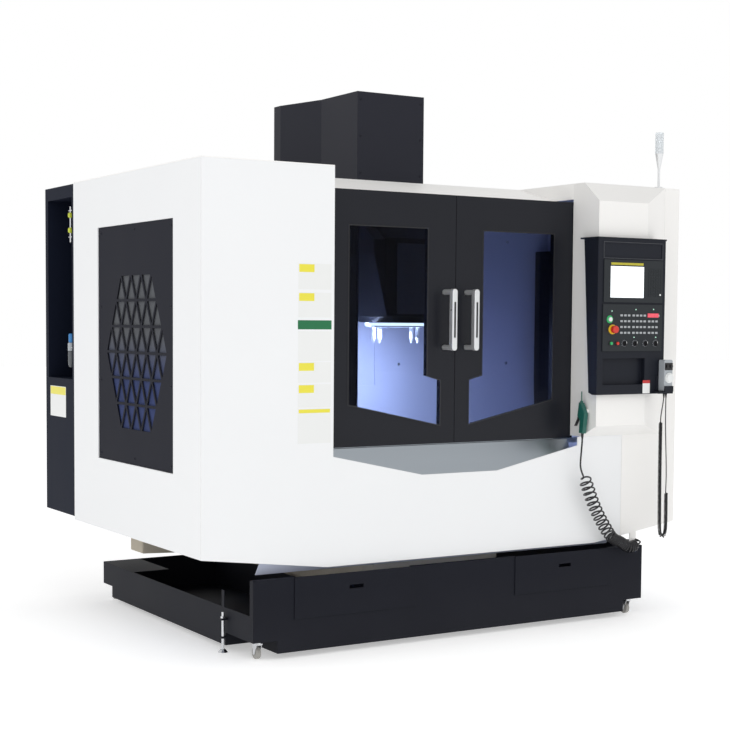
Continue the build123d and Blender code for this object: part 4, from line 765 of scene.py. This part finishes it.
FROM_EDGE = 0.03
vent_low, vent_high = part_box("vent_cover")
vent_y = [vent_low[1] + FROM_EDGE, (vent_low[1] + vent_high[1]) / 2, vent_high[1] - FROM_EDGE]
vent_climb = (vent_high[2] - vent_low[2] - 2 * FROM_EDGE) / 3
vent_z = [vent_low[2] + FROM_EDGE + step * vent_climb for step in range(4)]
vent_places = [Vector((vent_low[0], y, z)) for y in vent_y for z in vent_z
               if y != vent_y[1] or z in (vent_z[0], vent_z[-1])]
screws("vent_screws", vent_places, LEFTWARD, 6.5, dark_coat)
cover_low, cover_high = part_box("column_cover")
cover_places = [Vector((x, cover_low[1], z)) for x in (-0.185, 0.185)
                for z in (cover_low[2] + 0.05, cover_low[2] + 0.24, cover_high[2] - 0.04)]
screws("cover_screws", cover_places, FORWARD, 6.5, dark_coat)
bolt_places = [at(x, 1090, z) for x in (-1150, -760, -380, 330, 700, 1080) for z in (1310, 2020)]
screws("guard_screws", bolt_places, FORWARD, 9, bright_steel)

# %% [markdown]
# ## A screen behind the lattice
# The triangles let warm air out, but chips and fingers have to stay out, so such a cover has a
# dark filter mat clamped behind it. It looks grey in its upper part and blue in its lower part,
# so a smooth change along Z mixes the two tones.

# %% Clamp the filter mat
BLUE_UP_TO, GREY_FROM = 1.22, 1.50
mat_finish = coated("mat_finish", (0.040, 0.055, 0.14), 0.8, shade=0.3, shade_size=30, corner=0,
                    grain=0.0006, grain_size=260, shine=0.1)
mat_height = {"Value": place_on(mat_finish)["Z"], "From Min": BLUE_UP_TO, "From Max": GREY_FROM}
high_up = put(mat_finish, "MapRange", mat_height, interpolation_type="SMOOTHSTEP")["Result"]
paint_over(mat_finish, (0.10, 0.105, 0.115), high_up)
MAT_MARGIN, MAT_GAP, MAT_THICKNESS = 0.05, 0.005, 0.004
mat_x = vent_high[0] + MAT_GAP
mat_y = (vent_low[1] + MAT_MARGIN, vent_high[1] - MAT_MARGIN)
mat_z = (vent_low[2] + MAT_MARGIN, vent_high[2] - MAT_MARGIN)
mat_corners = [Vector((mat_x, mat_y[back], mat_z[top])) for back, top in ((0, 0), (1, 0), (1, 1), (0, 1))]
plate("filter_mat", mat_corners, Vector((MAT_THICKNESS, 0, 0)), 0.6, "machine", mat_finish)

# %% [markdown]
# ## The post at the right of the work space
# A dark post stands in the right rear corner of the work space. It is folded from one sheet, so
# its plan is a flat polygon, pushed up from the chute to just under the roof.

# %% Stand the post in its corner
post_finish = coated("post_finish", (0.010, 0.011, 0.016), 0.5, shade=0.1, grain=0.00006, shine=0.2)
POST_FOOT, POST_HEIGHT = 968, 1.0
post_plan = ((1286, 1088), (1262, 1010), (1290, 940), (1376, 940), (1376, 1088))
post_corners = [at(x, y, POST_FOOT) for x, y in post_plan]
plate("corner_post", post_corners, Vector((0, 0, POST_HEIGHT)), 4, "machine", post_finish)

# %% [markdown]
# ## A channel behind the left door
# A wide sheet door would flutter, so a folded channel stiffens its outer edge from behind. It
# slides with the door, and through the glass it is the dark strip at the window's left side.

# %% Stiffen the left door
CHANNEL_FOOT, CHANNEL_HEIGHT = 1030, 1.06
channel_plan = ((-646, 131.5), (-646, 146), (-519, 146), (-519, 131.5),
                (-523, 131.5), (-523, 142), (-642, 142), (-642, 131.5))
channel_corners = [at(x, y, CHANNEL_FOOT) for x, y in channel_plan]
plate("left_door_channel", channel_corners, Vector((0, 0, CHANNEL_HEIGHT)), 0, "left_door", post_finish)

# %% [markdown]
# ## Labels beside the door
# A machine of this kind carries a column of labels beside the door: white film with a yellow head,
# and one green band. They are foil on paint, so they stand only half a millimetre proud and have
# a slightly different gloss.

# %% Put on the labels
FOIL, SECOND_FOIL = 0.5, 0.8
foil_white = coated("foil_white", (0.82, 0.83, 0.82), 0.30, shade=0.02, corner=0, grain=0.00002)
foil_yellow = coated("foil_yellow", (0.82, 0.74, 0.06), 0.30, shade=0.04, corner=0, grain=0.00002)
foil_green = coated("foil_green", (0.004, 0.150, 0.050), 0.30, shade=0.04, corner=0, grain=0.00002)


def sticker(name, left, right, low, high, finish, proud=FOIL):
    plate(name, front_outline(left, right, low, high, 0), to_the_front(proud), 0.15,
          "machine", finish)


sticker_rows = ((1694, 1812), (1566, 1680), (1366, 1502), (1266, 1360), (1152, 1258), (985, 1146))
for number, (low, high) in enumerate(sticker_rows, 1):
    sticker("sticker_white_%d" % number, -918, -744, low, high, foil_white)
    if number in (1, 2, 4, 5):
        sticker("sticker_head_%d" % number, -914, -834, high - 39, high - 3, foil_yellow, SECOND_FOIL)
sticker("sticker_head_6", -914, -748, 1126, 1143, foil_yellow, SECOND_FOIL)
sticker("sticker_green", -920, -742, 1511, 1553, foil_green)

# %% [markdown]
# ## A card on the cabinet
# The cabinet has a card of the same foil on its side. That side looks left, so the card's outline
# runs along the machine's depth and its thickness grows to the left.

# %% Put on the card
side_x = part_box("electrical_cabinet")[0][0]


def side_card(name, front, back, low, high, finish, proud):
    corners = [Vector((side_x, at(0, y, 0)[1], z / 1000))
               for y, z in ((front, low), (back, low), (back, high), (front, high))]
    plate(name, corners, Vector((-proud / 1000, 0, 0)), 0.15, "machine", finish)


side_card("cabinet_card", 1700, 1940, 1020, 1185, foil_white, FOIL)
side_card("cabinet_card_head", 1704, 1936, 1140, 1182, foil_yellow, SECOND_FOIL)

# %% [markdown]
# ## The plate down the middle of the head
# The head's cowl carries a lighter service plate with air slots down its front. It is part of the
# same casting in the model, so a mask on Object coordinates paints the strip: everything within
# the plate's half width, and forward of the cowl, takes the second coat.

# %% Paint the service plate
HALF_PLATE, PLATE_DEPTH = 0.0965, 0.0065
head_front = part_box("spindle_head")[0][1]
axes = place_on(head_coat)
from_middle = worked_out(head_coat, "ABSOLUTE", axes["X"])
within = worked_out(head_coat, "LESS_THAN", from_middle, HALF_PLATE)
forward = worked_out(head_coat, "LESS_THAN", axes["Y"], head_front + PLATE_DEPTH)
paint_over(head_coat, (0.055, 0.062, 0.085), all_of(head_coat, within, forward))
print("service plate is", round(2000 * HALF_PLATE), "mm wide")

# %% [markdown]
# ## Arms under the enclosure
# The enclosure rests on cast arms that reach out from the bed, and one sees the end of the left one
# through the gap over the tank. A casting tapers and has generous radii, so its outline is pushed
# out and every edge is broken by several millimetres.

# %% Cast the arms
ARM_Y, ARM_THICKNESS = 1180, 0.16
arm_outline = ((406, 300), (1185, 335), (1185, 440), (1130, 476), (406, 476))
for name, side in (("left_bed_arm", -1), ("right_bed_arm", 1)):
    arm = [at(side * x, ARM_Y, z) for x, z in arm_outline]
    plate(name, arm, Vector((0, ARM_THICKNESS, 0)), 7, "machine", cast_coat)

# %% [markdown]
# ## A splash rail on the tank
# Along its right side the tank has a rail that catches what drips off the sheet above. It rolls out
# with the tank.

# %% Fit the splash rail
rail_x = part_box("coolant_tank")[1][0] * 1000 - 12
rail_outline = ((40, 190), (1560, 190), (1520, 300), (640, 306), (480, 334), (230, 374), (60, 388))
rail = [at(rail_x, y, z) for y, z in rail_outline]
plate("splash_rail", rail, Vector((0.004, 0, 0)), 1, "tank", tank_coat)

# %% [markdown]
# ## Air filter and valves in the niche
# Compressed air enters at the rear left. A filter bowl, a regulator with a blue grip and a few
# yellow valve grips sit just inside the opening, where one can reach them. All of them are turned
# parts, so each is one profile spun round its axis.

# %% Turn the air fittings
FITTING_X = -1381
blue_plastic = coated("blue_plastic", (0.03, 0.22, 0.55), 0.3, shade=0.1, shade_size=60, corner=0.001)
lime_plastic = coated("lime_plastic", (0.55, 0.62, 0.03), 0.3, shade=0.1, shade_size=60, corner=0.001)
smoked = coated("smoked", (0.10, 0.11, 0.12), 0.15, shade=0.1, shade_size=40, corner=0, grain=0.00003)
grip_profile = ((0, 0), (10, 0), (15, 6), (15, 22), (10, 28), (0, 28))
fittings = (
    ("filter_bowl", smoked, 1676, 1292, ((0, 0), (9, 0), (17, 10), (19, 30), (19, 82), (15, 88), (0, 88))),
    ("filter_head", pale_plastic, 1676, 1380, ((0, 0), (19, 0), (20, 4), (20, 40), (18, 44), (0, 44))),
    ("regulator_grip", blue_plastic, 1676, 1424, ((0, 0), (12, 0), (16, 6), (16, 42), (13, 48), (0, 48))),
    ("valve_grip_low", lime_plastic, 1680, 2010, grip_profile),
    ("valve_grip_high", lime_plastic, 1680, 2090, grip_profile),
    ("valve_stem", bright_steel, 1680, 1960, ((0, 0), (6, 0), (6, 190), (0, 190))),
)
for name, finish, y, z, profile in fittings:
    turned(name, profile, at(FITTING_X, y, z), UP, 28, "machine", finish, "air_unit")

# %% [markdown]
# ## Brackets for the fittings
# Each group hangs on steel brackets: a foot flat against the niche's wall and a shelf that the
# fitting passes through. Foot and shelf are two plates that meet, so they are one piece.

# %% Fix the brackets
WALL_Y = 1598.5
SHELF_REACH = 85
round_the_plate = ((-1, 0), (1, 0), (1, 1), (-1, 1))
work = bmesh.new()
for z in (1396, 1985, 2125):
    foot = [at(FITTING_X + side * 14, WALL_Y, z - 18 + 40 * top) for side, top in round_the_plate]
    cut_plate(work, foot, Vector((0, 0.0035, 0)), 0.8)
    shelf = [at(FITTING_X + side * 12, WALL_Y + 0.5 + SHELF_REACH * far, z) for side, far in round_the_plate]
    cut_plate(work, shelf, Vector((0, 0, 0.005)), 0.8)
as_piece("fitting_brackets", work, "machine", bright_steel)

# %% [markdown]
# ## Sleeves where the cords leave
# A cord breaks first where it bends sharply at its housing. So each of the four ends passes
# through a rubber sleeve that tapers towards the cord, with grooves moulded in so that it bends
# evenly. The profile runs up the outside and back down the bore, which makes it a real tube.

# %% Push on the sleeves
BORE_ROOM, TIP_WALL, GROOVE, ROOT_LENGTH, RINGS = 0.15, 0.95, 0.7, 3, 5


def strain_relief(name, end, outward, thickness, root, length, slot):
    bore = thickness * 500 + BORE_ROOM
    first, last = root - 0.6, bore + TIP_WALL
    step = (length - ROOT_LENGTH) / RINGS
    profile = [(bore, -1), (root, -1), (root, ROOT_LENGTH)]
    for ring in range(RINGS):
        low = ROOT_LENGTH + step * ring
        wide = first - (first - last) * ring / (RINGS - 1)
        profile += [(wide - GROOVE, low), (wide - GROOVE, low + 0.4 * step), (wide, low + 0.4 * step),
                    (wide, low + step)]
    profile += [(bore, length), (bore, -1)]
    turned(name, profile, end, outward, 28, "machine", lead_rubber, slot)


strain_relief("hose_sleeve_gun", hose_route[0], DOWN, HOSE, 8.0, 26, "hose_plastic")
strain_relief("hose_sleeve_nipple", hose_route[-1], FORWARD, HOSE, 8.0, 20, "hose_plastic")
strain_relief("lead_sleeve_console", lead_route[0], DOWN, LEAD, 6.2, 22, "cord_rubber")
strain_relief("lead_sleeve_pendant", lead_route[-1], DOWN, LEAD, 6.2, 22, "cord_rubber")

# %% [markdown]
# ## A frame and a card
# Above the screen a shallow raised frame runs round the top of the console and stiffens its thin
# front. A small card with a red head is stuck at the console's lower edge.

# %% Fit the frame and the card
frame_finish = coated("frame_finish", (0.075, 0.080, 0.090), 0.42, shade=0.06, grain=0.00004, corner=0.001)
red_foil = coated("red_foil", (0.55, 0.03, 0.03), 0.35, shade=0.05, corner=0, grain=0.00002)
work = bmesh.new()
cut_ring(work, front_outline(755, 1153, 1878, 1962, face_y + 5.2), 4.5, to_the_front(2.8))
as_piece("name_frame", work, "machine", frame_finish)
for name, low, finish, proud in (("hanging_card", 1188, foil_white, 0.8),
                                 ("hanging_card_head", 1240, red_foil, 1.1)):
    plate(name, front_outline(1031, 1080, low, 1256, face_y + 5), to_the_front(proud), 0.2,
          "machine", finish)

# %% [markdown]
# ## Rubber round the glass
# Safety glass sits in a rubber profile that hides its cut edge. We take the opening's outline,
# inset it by the width of the rubber, drop the middle and push the ring from the pane to about a
# millimetre in front of the door.

# %% Press in the window seals
SEAL_WIDTH, SEAL_RISE = 5, 0.0012
split_x = (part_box("left_door_frame")[1][0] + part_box("right_door_frame")[0][0]) / 2
door_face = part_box("left_door_frame")[0][1]
seal_outline = ((163, 1286), (163, 2007), (617, 2007), (617, 1150), (83, 1036), (83, 1265))


def window_seal(name, side, body):
    pane_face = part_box(body.replace("door", "window"))[0][1]
    corners = [Vector((split_x + side * x / 1000, pane_face, z / 1000)) for x, z in seal_outline]
    work = bmesh.new()
    cut_ring(work, corners, SEAL_WIDTH, Vector((0, door_face - SEAL_RISE - pane_face, 0)))
    as_piece(name, work, body, black_plastic)


window_seal("left_window_seal", -1, "left_door")
window_seal("right_window_seal", 1, "right_door")

# %% [markdown]
# ## The dark insert of the handles
# Each handle is an aluminium bar with a black strip let into its groove. The strip stops short of
# the groove's ends and lies a little below the surface.

# %% Let in the handle strips
HALF_STRIP, STRIP_SUNK = 86, 5
for name, x, body in (("left_handle_strip", -48, "left_door"), ("right_handle_strip", 84, "right_door")):
    low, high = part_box(name.replace("_strip", ""))
    middle_z = (low[2] + high[2]) / 2 * 1000
    strip_y = (low[1] - FRONT) * 1000 + STRIP_SUNK
    plate(name, front_outline(x - 5, x + 5, middle_z - HALF_STRIP, middle_z + HALF_STRIP, strip_y),
          to_the_front(3), 0.4, body, black_plastic)

# %% [markdown]
# ## Light
# The machine is lit from all sides, as in a white tent. The world gives that even light, and two
# large soft lamps add a little direction from the front left, so that the front sheet, the side
# and the bevels differ in tone. Two small bluish lamps stand in for the work light's glow on the
# walls inside.

# %% Light the studio
world = bpy.data.worlds.new("white_tent")
scene.world = world
world.use_nodes = True
IN_THE_PICTURE, ON_THE_MACHINE = 1.0, 0.78
direct = put(world, "LightPath", {})["Is Camera Ray"]
strength = put(world, "MapRange", {"Value": direct, "To Min": ON_THE_MACHINE,
                                   "To Max": IN_THE_PICTURE})["Result"]
fill(world, world.node_tree.nodes["Background"], {"Color": (1, 1, 1, 1), "Strength": strength})


def soft_lamp(name, place, target, size, power, colour=(1, 1, 1)):
    data = bpy.data.lights.new(name, "AREA")
    data.size = size
    data.energy = power
    data.color = colour
    lamp = bpy.data.objects.new(name, data)
    scene.collection.objects.link(lamp)
    lamp.location = place
    lamp.rotation_euler = (target - place).to_track_quat("-Z", "Y").to_euler()
    return lamp


middle = at(0, 700, 1200)
soft_lamp("front_lamp", at(-1500, -5200, 3800), middle, 4.0, 40)
soft_lamp("left_lamp", at(-5600, 200, 2800), middle, 3.5, 18)
soft_lamp("work_light", at(-60, 560, 1490), at(-160, 900, 900), 0.3, 23, (0.70, 0.80, 1.0))
soft_lamp("back_light", at(900, 420, 1500), at(900, 1090, 1000), 0.4, 1.0, (0.52, 0.58, 1.0))

# %% [markdown]
# ## The floor
# A wide pale plane takes the soft shadow under the machine. It glows faintly, so that it fades into
# the white behind it. It belongs to the stage and not to the machine.

# %% Lay the floor
FLOOR_HALF = 40
work = bmesh.new()
bmesh.ops.create_grid(work, x_segments=8, y_segments=8, size=FLOOR_HALF)
floor_mesh = bpy.data.meshes.new("studio_floor")
work.to_mesh(floor_mesh)
work.free()
floor_finish = coated("floor_finish", (0.86, 0.86, 0.86), 0.8, shade=0.01, corner=0)
fill(floor_finish, shader_of(floor_finish), {
    "Emission Color": (1, 1, 1, 1), "Emission Strength": 0.42, "Specular IOR Level": 0.1})
floor_mesh.materials.append(floor_finish)
floor = bpy.data.objects.new("studio_floor", floor_mesh)
scene.collection.objects.link(floor)
print("floor is", 2 * FLOOR_HALF, "m across")

# %% [markdown]
# ## Closing the file
# The view layer is brought up to date, so that every new piece has its place.

# %% Finish
bpy.context.view_layer.update()
